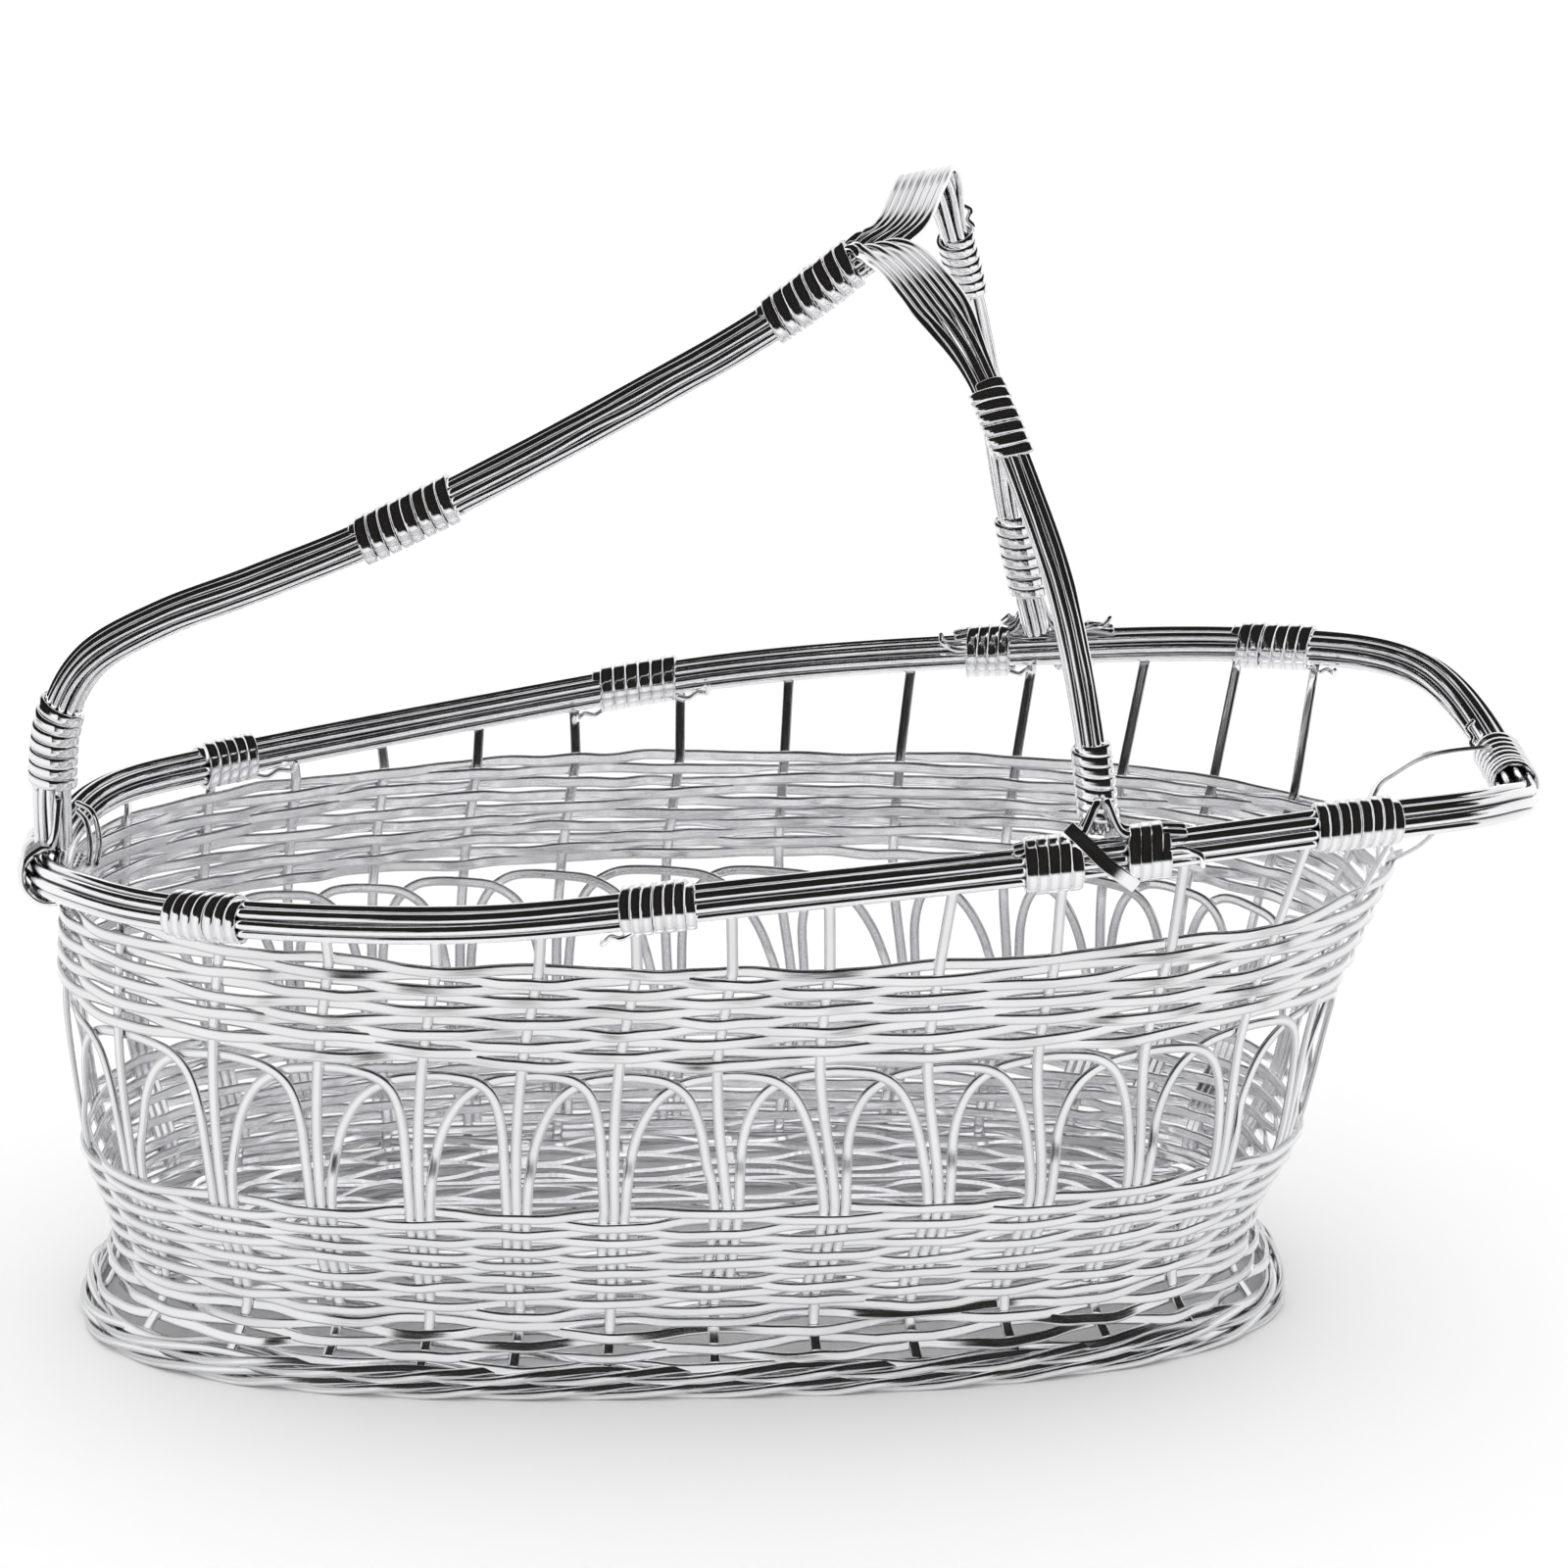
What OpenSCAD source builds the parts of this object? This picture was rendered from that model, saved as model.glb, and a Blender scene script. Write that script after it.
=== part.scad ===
// Wine-pouring basket: a bottle cradle of woven flat ribbon and bundled round wire.
// Millimetres, +Z up, +X towards the pouring spout. The origin is on the ground under the
// middle of the overall length. The XZ plane is the plane of symmetry of the body, the rim
// and the handle.

/* [Overall] */
// centre line of the rim to centre line, from the handle's foot to the tip of the spout
rim_l = 273.2; // [250:0.1:300]
// centre line to centre line across the rim at its widest
rim_w = 130; // [115:1:145]
// height of the rim's centre line at its highest, near the spout
rim_z = 110.3; // [95:0.1:125]
// height of the hoop's centre line at its highest, on the rear side
apex_z = 210; // [190:1:230]

/* [Body] */
// length of the foot ring
foot_l = 227; // [210:1:240]
// width of the foot ring
foot_w = 98; // [88:1:110]
// height of the narrow waist above the foot
waist_z = 10; // [8:0.5:14]
// top of the lower woven band
lower_top = 38.5; // [32:0.5:44]
// bottom of the upper woven band
upper_bottom = 67; // [60:0.5:72]
// top of the upper woven band
upper_top = 88; // [82:0.5:94]
// number of side stakes round the wall
bays = 30; // [24:2:36]

/* [Ribbon and wire] */
// width of the flat ribbon used for stakes and arches
ribbon_w = 2; // [1.4:0.1:2.6]
// thickness of the flat ribbon
ribbon_t = 0.8; // [0.5:0.05:1.2]
// diameter of the round wires in the handle and its hoop
wire_d = 1.45; // [1:0.05:2]
// diameter of the heavier round wires in the rim
rim_wire_d = 1.95; // [1.4:0.05:2.4]
// thickness of the wire wound round the bundles
wrap_t = 0.95; // [0.6:0.05:1.4]

/* [Weave] */
// rows in the lower band
lower_rows = 13; // [8:1:16]
// rows in the upper band
upper_rows = 10; // [6:1:12]
// loose rows in the flared foot
foot_rows = 5; // [3:1:6]
// height of each of the two rows of the foot's border
border_h = 2.2; // [1.6:0.1:3]

/* [Hidden] */

silver = [0.86, 0.86, 0.88];

// the wall's ovals share the foot's centre; the rim reaches further forward, to the spout
foot_x = -18.8;
rim_x0 = foot_x - 118;
rim_x1 = rim_x0 + rim_l;

// gap that keeps touching ribbons from sharing a face
skin = 0.02;

// ---------------------------------------------------------------- small helpers
function unit(v) = v / norm(v);
function at(list, i) = list[(i + len(list)) % len(list)];
function mirrored(p) = [p[0], -p[1], p[2]];

// Catmull-Rom segment between b and c
function cr(a, b, c, d, t) =
  0.5 * (2 * b + (c - a) * t + (2 * a - 5 * b + 4 * c - d) * t * t
  + (3 * b - a - 3 * c + d) * t * t * t);

// smooth closed loop through the points, m steps between neighbours
function smooth_loop(p, m) =
  [for (i = [0 : len(p) - 1]) for (j = [0 : m - 1])
    cr(at(p, i - 1), p[i], at(p, i + 1), at(p, i + 2), j / m)];

// smooth open line through the points, m steps between neighbours
function smooth_line(p, m) = let (n = len(p) - 1)
  concat([for (i = [0 : n - 1]) for (j = [0 : m - 1])
    cr(i > 0 ? p[i - 1] : 2 * p[0] - p[1], p[i], p[i + 1],
       i < n - 1 ? p[i + 2] : 2 * p[n] - p[n - 1], j / m)], [p[n]]);

// tangent of a line or loop at point i
function tangent(p, i, closed) = let (n = len(p) - 1)
  unit(closed ? at(p, i + 1) - at(p, i - 1) : p[min(i + 1, n)] - p[max(i - 1, 0)]);

// direction square to the tangent, nearest to the wanted side
function side_dir(t, wanted) = unit(wanted - (wanted * t) * t);

// the side wanted at point i: one vector for the whole line, or one for each point
function side_at(sides, i) = is_list(sides[0]) ? sides[i] : sides;

// line that runs beside p, moved by u towards the wanted side and v square to it
function beside(p, sides, u, v, closed = false) =
  [for (i = [0 : len(p) - 1])
    let (t = tangent(p, i, closed), n = side_dir(t, side_at(sides, i)))
    p[i] + u * n + v * cross(t, n)];

// solid of one convex profile carried along a line; profile x lies towards the wanted side
module sweep(p, sides, profile, closed = false) {
  m = len(profile);
  n = len(p);
  points = [for (i = [0 : n - 1])
    let (t = tangent(p, i, closed), s = side_dir(t, side_at(sides, i)), b = cross(t, s))
    for (q = profile) p[i] + q[0] * s + q[1] * b];
  skins = [for (i = [0 : n - (closed ? 1 : 2)]) for (j = [0 : m - 1])
    let (a = i * m + j, b = i * m + (j + 1) % m,
         c = ((i + 1) % n) * m + (j + 1) % m, d = ((i + 1) % n) * m + j)
    for (f = [[a, d, c], [a, c, b]]) f];
  caps = closed ? [] : [[for (j = [0 : m - 1]) j], [for (j = [m - 1 : -1 : 0]) (n - 1) * m + j]];
  polyhedron(points, concat(skins, caps));
}

function disc(r, n) = [for (j = [0 : n - 1]) r * [cos(360 * (j + 0.5) / n), sin(360 * (j + 0.5) / n)]];
function strip(t, w) = [[-t / 2, -w / 2], [t / 2, -w / 2], [t / 2, w / 2], [-t / 2, w / 2]];

module wire(p, sides, d = wire_d, closed = false) sweep(p, sides, disc(d / 2, 5), closed);

// ring of n parallel wires round the line p
module wire_ring(p, sides, n, d = wire_d, closed = false) {
  r = ring_r(n, d);
  for (j = [0 : n - 1])
    wire(beside(p, sides, r * cos(360 * j / n), r * sin(360 * j / n), closed), sides, d, closed);
}

// radius on which n wires lie side by side, and the radius left inside them for a core
function ring_r(n, d = wire_d) = (d + 0.03) / 2 / sin(180 / n);
function core_r(n, d = wire_d) = ring_r(n, d) - d / 2;
function bundle_r(n, d = wire_d) = ring_r(n, d) + d / 2;

// coil of wrap turns: a ribbed sleeve centred on pos, its axis along dir
module coil(pos, dir, bore, length, turns) {
  pitch = length / turns;
  ribs = [for (i = [0 : turns - 1]) for (q = [[0.45, 0.02], [1, 0.25], [1, 0.75], [0.45, 0.98]])
    [bore + q[0] * wrap_t, (i + q[1]) * pitch - length / 2]];
  translate(pos) rotate([0, acos(dir[2]), atan2(dir[1], dir[0])])
    rotate_extrude($fn = 48)
      polygon(concat([[bore, -length / 2]], [[bore + 0.4, -length / 2]], ribs,
        [[bore + 0.4, length / 2]], [[bore, length / 2]]));
}

// ---------------------------------------------------------------- the woven wall
// height, half length, half width, centre and squareness of the wall's oval
wall = [
  [0, foot_l / 2, foot_w / 2, 0, 2.6],
  [4, foot_l / 2, foot_w / 2, 0, 2.6],
  [waist_z, foot_l / 2 - 3.7, foot_w / 2 - 2.5, 0, 2.6],
  [lower_top, foot_l / 2 + 2.2, foot_w / 2 + 4, 2, 2.6],
  [upper_bottom, foot_l / 2 + 7, foot_w / 2 + 6.5, 4, 2.4],
  [upper_top, foot_l / 2 + 10.5, foot_w / 2 + 11.3, 8.3, 2.3]];

function wall_value(z, i) = lookup(z, [for (row = wall) [row[0], row[i]]]);
function sgn_pow(v, e) = sign(v) * pow(abs(v), e);

function oval(t, z) = let (e = 2 / wall_value(z, 4))
  [foot_x + wall_value(z, 3) + wall_value(z, 1) * sgn_pow(cos(t), e),
   wall_value(z, 2) * sgn_pow(sin(t), e)];

// outward normal of the oval, level
function oval_out(t, z) = let (e = 2 - 2 / wall_value(z, 4))
  unit([sgn_pow(cos(t), e) / wall_value(z, 1), sgn_pow(sin(t), e) / wall_value(z, 2)]);

// length round the wall against the oval's angle, measured under the upper band
arc_steps = 180;
arc = [for (i = 0, s = 0; i <= arc_steps;
  s = s + norm(oval((i + 1) * 360 / arc_steps, upper_bottom) - oval(i * 360 / arc_steps, upper_bottom)),
  i = i + 1) [s, i * 360 / arc_steps]];
girth = arc[arc_steps][0];
bay = girth / bays;

function stake_s(k) = (k + 0.5) * bay;

// the stakes stay upright although the upper band lies further forward than the lower
upright_shift = 5.4;

// the stakes on the rear of the spout stand up to this much further back than an even spread
spout_set = 6.5;

// distance from the spout end in bays, counted both ways
function bays_round(s) = let (b = s / bay) b > bays / 2 ? b - bays : b;

// distance by which the weaver's hand set a stake aside from its even place round the wall
function set_by_hand(s, z) = let (turn = 360 * s / girth)
  let (below = (upper_top - min(max(z, lower_top), upper_top + 4)) / (upper_top - lower_top))
  1.3 + 3.4 * sin(turn - 45) + 1.4 * sin(2 * turn - 109) + 3.4 * sin(3 * turn + 143)
  + spout_set * exp(-pow((bays_round(s) - 1.2) / 1.9, 2)) - upright_shift * below * sin(turn);

// oval angle at a distance s round the wall from the spout end and a height z
function angle_at(s, z) = lookup((s + set_by_hand(s, z) + girth) % girth, arc);

// point of the wall: distance round it, height, distance outwards
function wall_at(s, z, out = 0) = let (t = angle_at(s, z), p = oval(t, z) + out * oval_out(t, z))
  [p[0], p[1], z];
function wall_out(s, z) = let (q = oval_out(angle_at(s, z), z)) [q[0], q[1], 0];

// one row: a ribbon that passes in front of one stake and behind the next
module weave_row(z, h, row, hold, t = ribbon_t) {
  lift = (ribbon_t + t) / 2 - skin;
  function ring(side) = [for (k = [0 : bays - 1]) for (d = [-hold, hold])
    let (q = wall_at(stake_s(k) + d, z + h / 2, ((k + row) % 2 == 0 ? lift : -lift) + side * t / 2))
    [q[0], q[1]]];
  n = 2 * bays;
  translate([0, 0, z]) linear_extrude(h)
    polygon(concat(ring(1), ring(-1)), [[for (i = [0 : n - 1]) i], [for (i = [0 : n - 1]) n + i]]);
}

// rows number first to last by step, evenly spread from z0 to z1
module weave_band(z0, z1, rows, first, last, step, hold) {
  pitch = (z1 - z0) / rows;
  for (i = [first : step : last]) weave_row(z0 + i * pitch + 0.1, pitch - 0.2, i, hold);
}

lower_bottom = 14.6;
stake_hold = ribbon_w / 2 + 0.3;
triple_hold = 1.5 * ribbon_w + 0.5;

module foot_border_lower() color(silver) weave_row(0, border_h, 0, stake_hold, 1.4);
module foot_border_upper() color(silver) weave_row(border_h + skin, border_h, 1, stake_hold, 1.4);
module foot_weave() color(silver)
  weave_band(2 * border_h + 0.4, lower_bottom, foot_rows, 0, foot_rows - 1, 1, stake_hold);
module lower_weaver_a() color(silver)
  weave_band(lower_bottom, lower_top, lower_rows, 0, lower_rows - 2, 2, triple_hold);
module lower_weaver_b() color(silver)
  weave_band(lower_bottom, lower_top, lower_rows, 1, lower_rows - 2, 2, triple_hold);
module lower_binding_row() color(silver)
  weave_band(lower_bottom, lower_top, lower_rows, lower_rows - 1, lower_rows - 1, 1, triple_hold);
module upper_weaver_a() color(silver)
  weave_band(upper_bottom, upper_top, upper_rows, 0, upper_rows - 2, 2, stake_hold);
module upper_weaver_b() color(silver)
  weave_band(upper_bottom, upper_top, upper_rows, 1, upper_rows - 2, 2, stake_hold);
module upper_binding_row() color(silver)
  weave_band(upper_bottom, upper_top, upper_rows, upper_rows - 1, upper_rows - 1, 1, stake_hold);

// ---------------------------------------------------------------- the arcade
arch_foot_z = lower_bottom + 8;
arch_spring_z = 49;
arch_crown_z = upper_bottom - 2.2;

// one arch spans two bays: it rises beside stake k, passes behind the next stake and comes
// down in front of its neighbour, beside stake k + 2
module arch(k) {
  s0 = stake_s(k) + ribbon_w + skin;
  s1 = stake_s(k + 2) - ribbon_w - skin;
  half = (s1 - s0) / 2;
  turn = [for (a = [-90 : 22.5 : 90]) [sgn_pow(sin(a), 0.85), sgn_pow(cos(a), 0.85)]];
  line = concat([[-1, arch_foot_z]],
    [for (q = turn) [q[0], arch_spring_z + (arch_crown_z - arch_spring_z) * q[1]]],
    [[1, arch_foot_z]]);
  function sink(u) = u < 0.1 && u > -0.99 ? -1.05 : u <= -0.99 || u > 0.5 ? 0 : -0.5;
  p = [for (q = line) wall_at((s0 + s1) / 2 + half * q[0], q[1], q[1] < arch_spring_z ? 0 : sink(q[0]))];
  sides = [for (q = line) wall_out((s0 + s1) / 2 + half * q[0], q[1])];
  sweep(p, sides, strip(ribbon_t, ribbon_w - 0.1));
}

module arcade_arches() color(silver) for (k = [0 : bays - 1]) arch(k);

// ---------------------------------------------------------------- the rim
rim_strand_n = 8;
widest = rim_w / 2;
lift_z = rim_z - 110.3;

// one side of the rim's centre line, from the handle's foot round to the tip of the spout
rim_side = [
  [rim_x0, 0, 88 + lift_z],
  [rim_x0 + 7.5, 0.4 * widest, 92 + lift_z],
  [rim_x0 + 30, 0.66 * widest, 93 + lift_z],
  [rim_x0 + 78, 0.915 * widest, 96.7 + lift_z],
  [rim_x0 + 128, widest, 103 + lift_z],
  [rim_x0 + 180, 0.96 * widest, 107.3 + lift_z],
  [rim_x0 + 230, 0.83 * widest, rim_z],
  [rim_x1 - 11, 0.615 * widest, rim_z - 1.3],
  [rim_x1, 0, rim_z - 10.8]];
rim_line = smooth_loop(concat(rim_side,
  [for (i = [len(rim_side) - 2 : -1 : 1]) mirrored(rim_side[i])]), 2);
rim_middle = [foot_x + 10, 0, 100];
rim_sides = [for (q = rim_line) let (v = q - rim_middle) [v[0] / 2, v[1], 0]];
rim_r = bundle_r(rim_strand_n, rim_wire_d);

// rim's centre line at a place along X, on the side of y that sgn gives
rim_half = [for (i = [0 : 2 * (len(rim_side) - 1)]) rim_line[i]];
function rim_at(x, sgn) =
  [x, sgn * lookup(x, [for (q = rim_half) [q[0], q[1]]]), lookup(x, [for (q = rim_half) [q[0], q[2]]])];
function rim_dir(x, sgn) = unit(rim_at(x + 3, sgn) - rim_at(x - 3, sgn));

module rim_core() color(silver)
  sweep(rim_line, rim_sides, disc(core_r(rim_strand_n, rim_wire_d) - skin, 8), true);
module rim_strands() color(silver)
  wire_ring(rim_line, rim_sides, rim_strand_n, rim_wire_d, true);

module rim_coil(x, sgn, length, turns) color(silver)
  coil(rim_at(x, sgn), rim_dir(x, sgn), rim_r + skin, length, turns);
module rim_wrap_front_heel() rim_coil(foot_x - 86, -1, 15.5, 6);
module rim_wrap_front_middle() rim_coil(foot_x - 7, -1, 14, 6);
module rim_wrap_front_spout() rim_coil(foot_x + 117, -1, 17, 7);
module rim_wrap_rear_heel() rim_coil(foot_x - 86, 1, 13, 5);
module rim_wrap_rear_middle() rim_coil(foot_x - 7, 1, 18, 6);
module rim_wrap_rear_spout() rim_coil(foot_x + 117, 1, 17, 6);
module rim_wrap_tip() color(silver) {
  last = 2 * (len(rim_side) - 1);
  back = unit(rim_line[last - 1] - rim_line[last]);
  coil((rim_line[last] + rim_line[last - 1]) / 2 - 3 * back, back, rim_r + 0.25, 12, 6);
}

// ends of the handle's wires: they come down beside its foot, hug the outside of the rim and
// end under it; the turn is 90 on top of the rim, 0 outside and -90 below
function heel_hug(y, turn) = [rim_x0 + 0.0102 * y * y, y, 88 + lift_z + 0.0092 * y * y]
  + (rim_r + wire_d / 2 + 0.1) * [-cos(turn), 0, sin(turn)];
module rim_curl(sgn) color(silver)
  for (i = [0 : 3]) {
    y = sgn * (4.4 + 1.5 * i);
    wire(smooth_line(concat([[rim_x0 + 1.8, y - 0.9 * sgn, 97 + lift_z - 0.5 * i]],
      [for (turn = [75, 30, -20, -70, -115]) heel_hug(y - sgn * turn / 75, turn)]), 1), [0, 1, 0.01]);
  }
module rim_curl_front() rim_curl(-1);
module rim_curl_rear() rim_curl(1);

// ---------------------------------------------------------------- side stakes and spout stays
// a stake leans a little towards the spout above the upper band, up to the rim
function stake_top(k) = let (q = wall_at(stake_s(k), upper_top), run = q[0] - foot_x - 8)
  let (lean = q[1] > 0 ? 0.055 : 0.02, x = min(max(q[0] + max(run, 0) * lean, rim_x0 + 1), rim_x1 - 15))
  let (r = rim_at(x, sign(q[1])))
  [r[0], r[1], r[2] - rim_r + 0.3];
stake_levels = [1, 4, waist_z, lower_top, upper_bottom, upper_top];

function stake_line(k, top) = concat([for (z = stake_levels) wall_at(stake_s(k), z)], top);
function stake_sides(k, n) = concat([for (z = stake_levels) wall_out(stake_s(k), z)],
  [for (i = [1 : n]) wall_out(stake_s(k), upper_top)]);

module side_stakes() color(silver)
  for (k = [1 : bays - 2])
    sweep(stake_line(k, [stake_top(k)]), stake_sides(k, 1), strip(ribbon_t, ribbon_w));

// the two stakes at the spout end bend forwards and carry the bottle's neck: the rear one ends
// at the tip of the spout, the front one below the rim
module spout_stay(k, top) color(silver)
  sweep(stake_line(k, top), stake_sides(k, len(top)), strip(ribbon_t, ribbon_w));
spout_tip = [rim_x1, 0, rim_z];
module spout_stay_rear() let (base = wall_at(stake_s(0), upper_top))
  spout_stay(0, [base + [2.4, 2, 5.4], base + [5.8, 0.5, 9], spout_tip + [-14.6, 8.6, -7.8],
                 spout_tip + [-3.6, 8.5, -6.4]]);
module spout_stay_front() let (base = wall_at(stake_s(bays - 1), upper_top), seat = rim_at(rim_x1 - 22, -1))
  spout_stay(bays - 1, [base + [2, -8, 5], base + [3, -20, 10], seat - [0, 0, rim_r - 0.3]]);

// ---------------------------------------------------------------- the floor
floor_z = 12.5;
floor_inset = 2.5;
floor_pitch = 4.6;
floor_rings = 9;

// half width of the floor at a place along X
function floor_half(x) = let (a = wall_value(floor_z, 1) - floor_inset,
  b = wall_value(floor_z, 2) - floor_inset, n = wall_value(floor_z, 4))
  b * pow(max(1 - pow(abs(x) / a, n), 0), 1 / n);

module floor_cross_sticks() color(silver)
  for (x = [-90 : 20 : 90])
    translate([foot_x + x - ribbon_w / 2, -floor_half(x), floor_z])
      cube([ribbon_w, 2 * floor_half(x), ribbon_t]);

module floor_long_sticks() color(silver)
  for (y = [-20 : 10 : 20]) {
    half = (wall_value(floor_z, 1) - floor_inset) * pow(1 - pow(abs(y) / (foot_w / 2), 2.6), 1 / 2.6) - 1;
    translate([foot_x - half, y - ribbon_w / 2, floor_z + ribbon_t]) cube([2 * half, ribbon_w, ribbon_t]);
  }

// flat oval ring of the floor, i pitches in from the wall
module floor_ring(i, z) {
  function loop(w) = [for (a = [0 : 7.5 : 359])
    let (e = 2 / 2.5, in = floor_inset + i * floor_pitch + w)
    [foot_x + (wall_value(floor_z, 1) - in) * sgn_pow(cos(a), e),
     (wall_value(floor_z, 2) - in) * sgn_pow(sin(a), e)]];
  n = len(loop(0));
  translate([0, 0, z]) linear_extrude(ribbon_t - skin)
    polygon(concat(loop(0), loop(ribbon_w + 0.4)),
      [[for (j = [0 : n - 1]) j], [for (j = [0 : n - 1]) n + j]]);
}
module floor_weave_over() color(silver)
  for (i = [1 : 2 : floor_rings - 1]) floor_ring(i, floor_z + 2 * ribbon_t);
module floor_weave_under() color(silver)
  for (i = [0 : 2 : floor_rings - 1]) floor_ring(i, floor_z - ribbon_t + skin);

// ---------------------------------------------------------------- the handle
handle_n = 12;
hoop_n = 8;

// centre line of the handle in the XZ plane, from the rim's heel to its upper end
handle_line = smooth_line([
  [rim_x0 + 1, 0, 92], [rim_x0 + 1.2, 0, 104], [rim_x0 + 3, 0, 117], [rim_x0 + 9.5, 0, 128],
  [rim_x0 + 23, 0, 135.6], [rim_x0 + 40, 0, apex_z - 68], [rim_x0 + 64, 0, apex_z - 58.2],
  [rim_x0 + 96, 0, apex_z - 41.8], [rim_x0 + 131, 0, apex_z - 22], [rim_x0 + 149, 0, apex_z - 9]], 2);

// centre lines of the hoop's legs, from the rim up and over the top to the end of the handle;
// the hoop is a little higher at the rear than at the front
leg_x = foot_x + 71.2;
leg_y = 0.9 * widest;
rear_leg = smooth_line([
  [leg_x, leg_y, rim_z + 2.2], [leg_x - 6.2, leg_y - 0.9, rim_z + 29.7],
  [leg_x - 9.9, leg_y - 3.5, rim_z + 50.5], [leg_x - 14, leg_y - 7.1, apex_z - 30.5],
  [leg_x - 18.3, leg_y - 12.9, apex_z - 14.6], [leg_x - 21.3, 38.8, apex_z - 4.4],
  [leg_x - 24.4, 31, apex_z], [leg_x - 27.2, 21, apex_z - 1.3], [leg_x - 30.8, 8, apex_z - 3.8],
  [leg_x - 36, 2, apex_z - 6.4]], 2);
front_leg = smooth_line([
  [leg_x, -leg_y, rim_z + 2.2], [leg_x - 2.6, -leg_y, rim_z + 21.7],
  [leg_x - 7.5, 0.7 - leg_y, rim_z + 45.6], [leg_x - 13.6, 4 - leg_y, apex_z - 36.2],
  [leg_x - 20, 9.6 - leg_y, apex_z - 20.6], [leg_x - 24.6, -39.5, apex_z - 12.4],
  [leg_x - 29.2, -24, apex_z - 7.8], [leg_x - 33, -10, apex_z - 6.3], [leg_x - 37, -2, apex_z - 6.5]], 2);
function leg(sgn) = sgn > 0 ? rear_leg : front_leg;

// sideways direction of the hoop: always along its own X axis, so the wires don't twist
module hoop_core(sgn) color(silver) sweep(leg(sgn), [1, 0, 0.2], disc(core_r(hoop_n) - skin, 8));
module hoop_core_front() hoop_core(-1);
module hoop_core_rear() hoop_core(1);
module hoop_strands(sgn) color(silver) wire_ring(leg(sgn), [1, 0, 0.2], hoop_n);
module hoop_strands_front() hoop_strands(-1);
module hoop_strands_rear() hoop_strands(1);

module handle_core() color(silver) sweep(handle_line, [0, 1, 0], disc(core_r(handle_n) - skin, 8));
module handle_strands() color(silver) wire_ring(handle_line, [0, 1, 0], handle_n);

handle_bore = bundle_r(handle_n) + 0.1;
module handle_coil(x, z, dir, length, turns) color(silver)
  coil([rim_x0 + x, 0, z], unit(dir), handle_bore, length, turns);
module handle_wrap_base() handle_coil(2, 111.5, [1, 0, 8], 18, 7);
module handle_wrap_middle() handle_coil(67.7, apex_z - 56.4, [2, 0, 1], 22, 8);
module handle_wrap_top() handle_coil(141.5, apex_z - 14.4, [18, 0, 13], 22, 8);

// point of a leg of the hoop at the height z, and a coil centred on it
function on_leg(p, z) = [for (c = [0 : 2])
  lookup(z, [for (j = [0 : len(p) - 9]) [p[j][2], p[j][c]]])];
module leg_coil(p, z, length, turns) color(silver)
  coil(on_leg(p, z), unit(on_leg(p, z + 2) - on_leg(p, z - 2)), bundle_r(hoop_n) + 0.1, length, turns);
module hoop_wrap_front_upper() leg_coil(front_leg, apex_z - 25, 15, 6);
module hoop_wrap_front_lower() leg_coil(front_leg, rim_z + 11, 15, 6);
module hoop_wrap_rear_upper() leg_coil(rear_leg, apex_z - 21, 15, 6);
module hoop_wrap_rear_lower() leg_coil(rear_leg, rim_z + 18, 18, 7);

// ---------------------------------------------------------------- where the hoop meets the rim
splay_r = rim_r + wire_d / 2;

// place on top of the rim for splayed wire i, a distance d along from the leg
function splay_seat(d, i, sgn) = rim_at(leg_x + d, sgn) + splay_r * [0, sin(25 * i), cos(25 * i)];

// ends of the hoop's wires, spread both ways along the top of the rim
module hoop_splay(sgn) color(silver)
  for (way = [-1, 1]) for (i = [-1, 0, 1])
    wire(smooth_line([splay_seat(way * 0.9, i, sgn) + [0, 0, 6 + abs(i)],
      splay_seat(way * 3.5, i, sgn) + [0, 0, 1.2], splay_seat(way * 7, i, sgn),
      splay_seat(way * 11, i, sgn)], 2), [0, 1, 0.01]);
module hoop_splay_front() hoop_splay(-1);
module hoop_splay_rear() hoop_splay(1);

// bindings that hold the splayed wires down on the rim
module foot_binding(x, sgn, length, turns) color(silver)
  coil(rim_at(x, sgn) + [0, 0, 0.6], rim_dir(x, sgn), rim_r + 0.7, length, turns);
module foot_binding_front_heel() foot_binding(leg_x - 9.5, -1, 11, 4);
module foot_binding_front_spout() foot_binding(leg_x + 9, -1, 8.5, 3);
module foot_binding_rear_heel() foot_binding(leg_x - 9.5, 1, 11, 4);
module foot_binding_rear_spout() foot_binding(leg_x + 8, 1, 6, 2);

// flat strap that crosses the outside of the joint between its two bindings
module foot_strap(sgn) color(silver) {
  out = [0, sgn, 0];
  a = rim_at(leg_x - 4, sgn);
  b = rim_at(leg_x, sgn);
  c = rim_at(leg_x + 4.6, sgn);
  r = rim_r + 0.6;
  p = [a + r * [0, 0.55 * sgn, 0.95], b + r * [0, 1.05 * sgn, 0.25], c + r * [0, 0.85 * sgn, -0.55]];
  sweep(smooth_line(p, 3), [for (i = [0 : 6]) out + [0, 0, 0.8 - 0.25 * i]], strip(wrap_t, 2.6));
}
module foot_strap_front() foot_strap(-1);
module foot_strap_rear() foot_strap(1);

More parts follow.
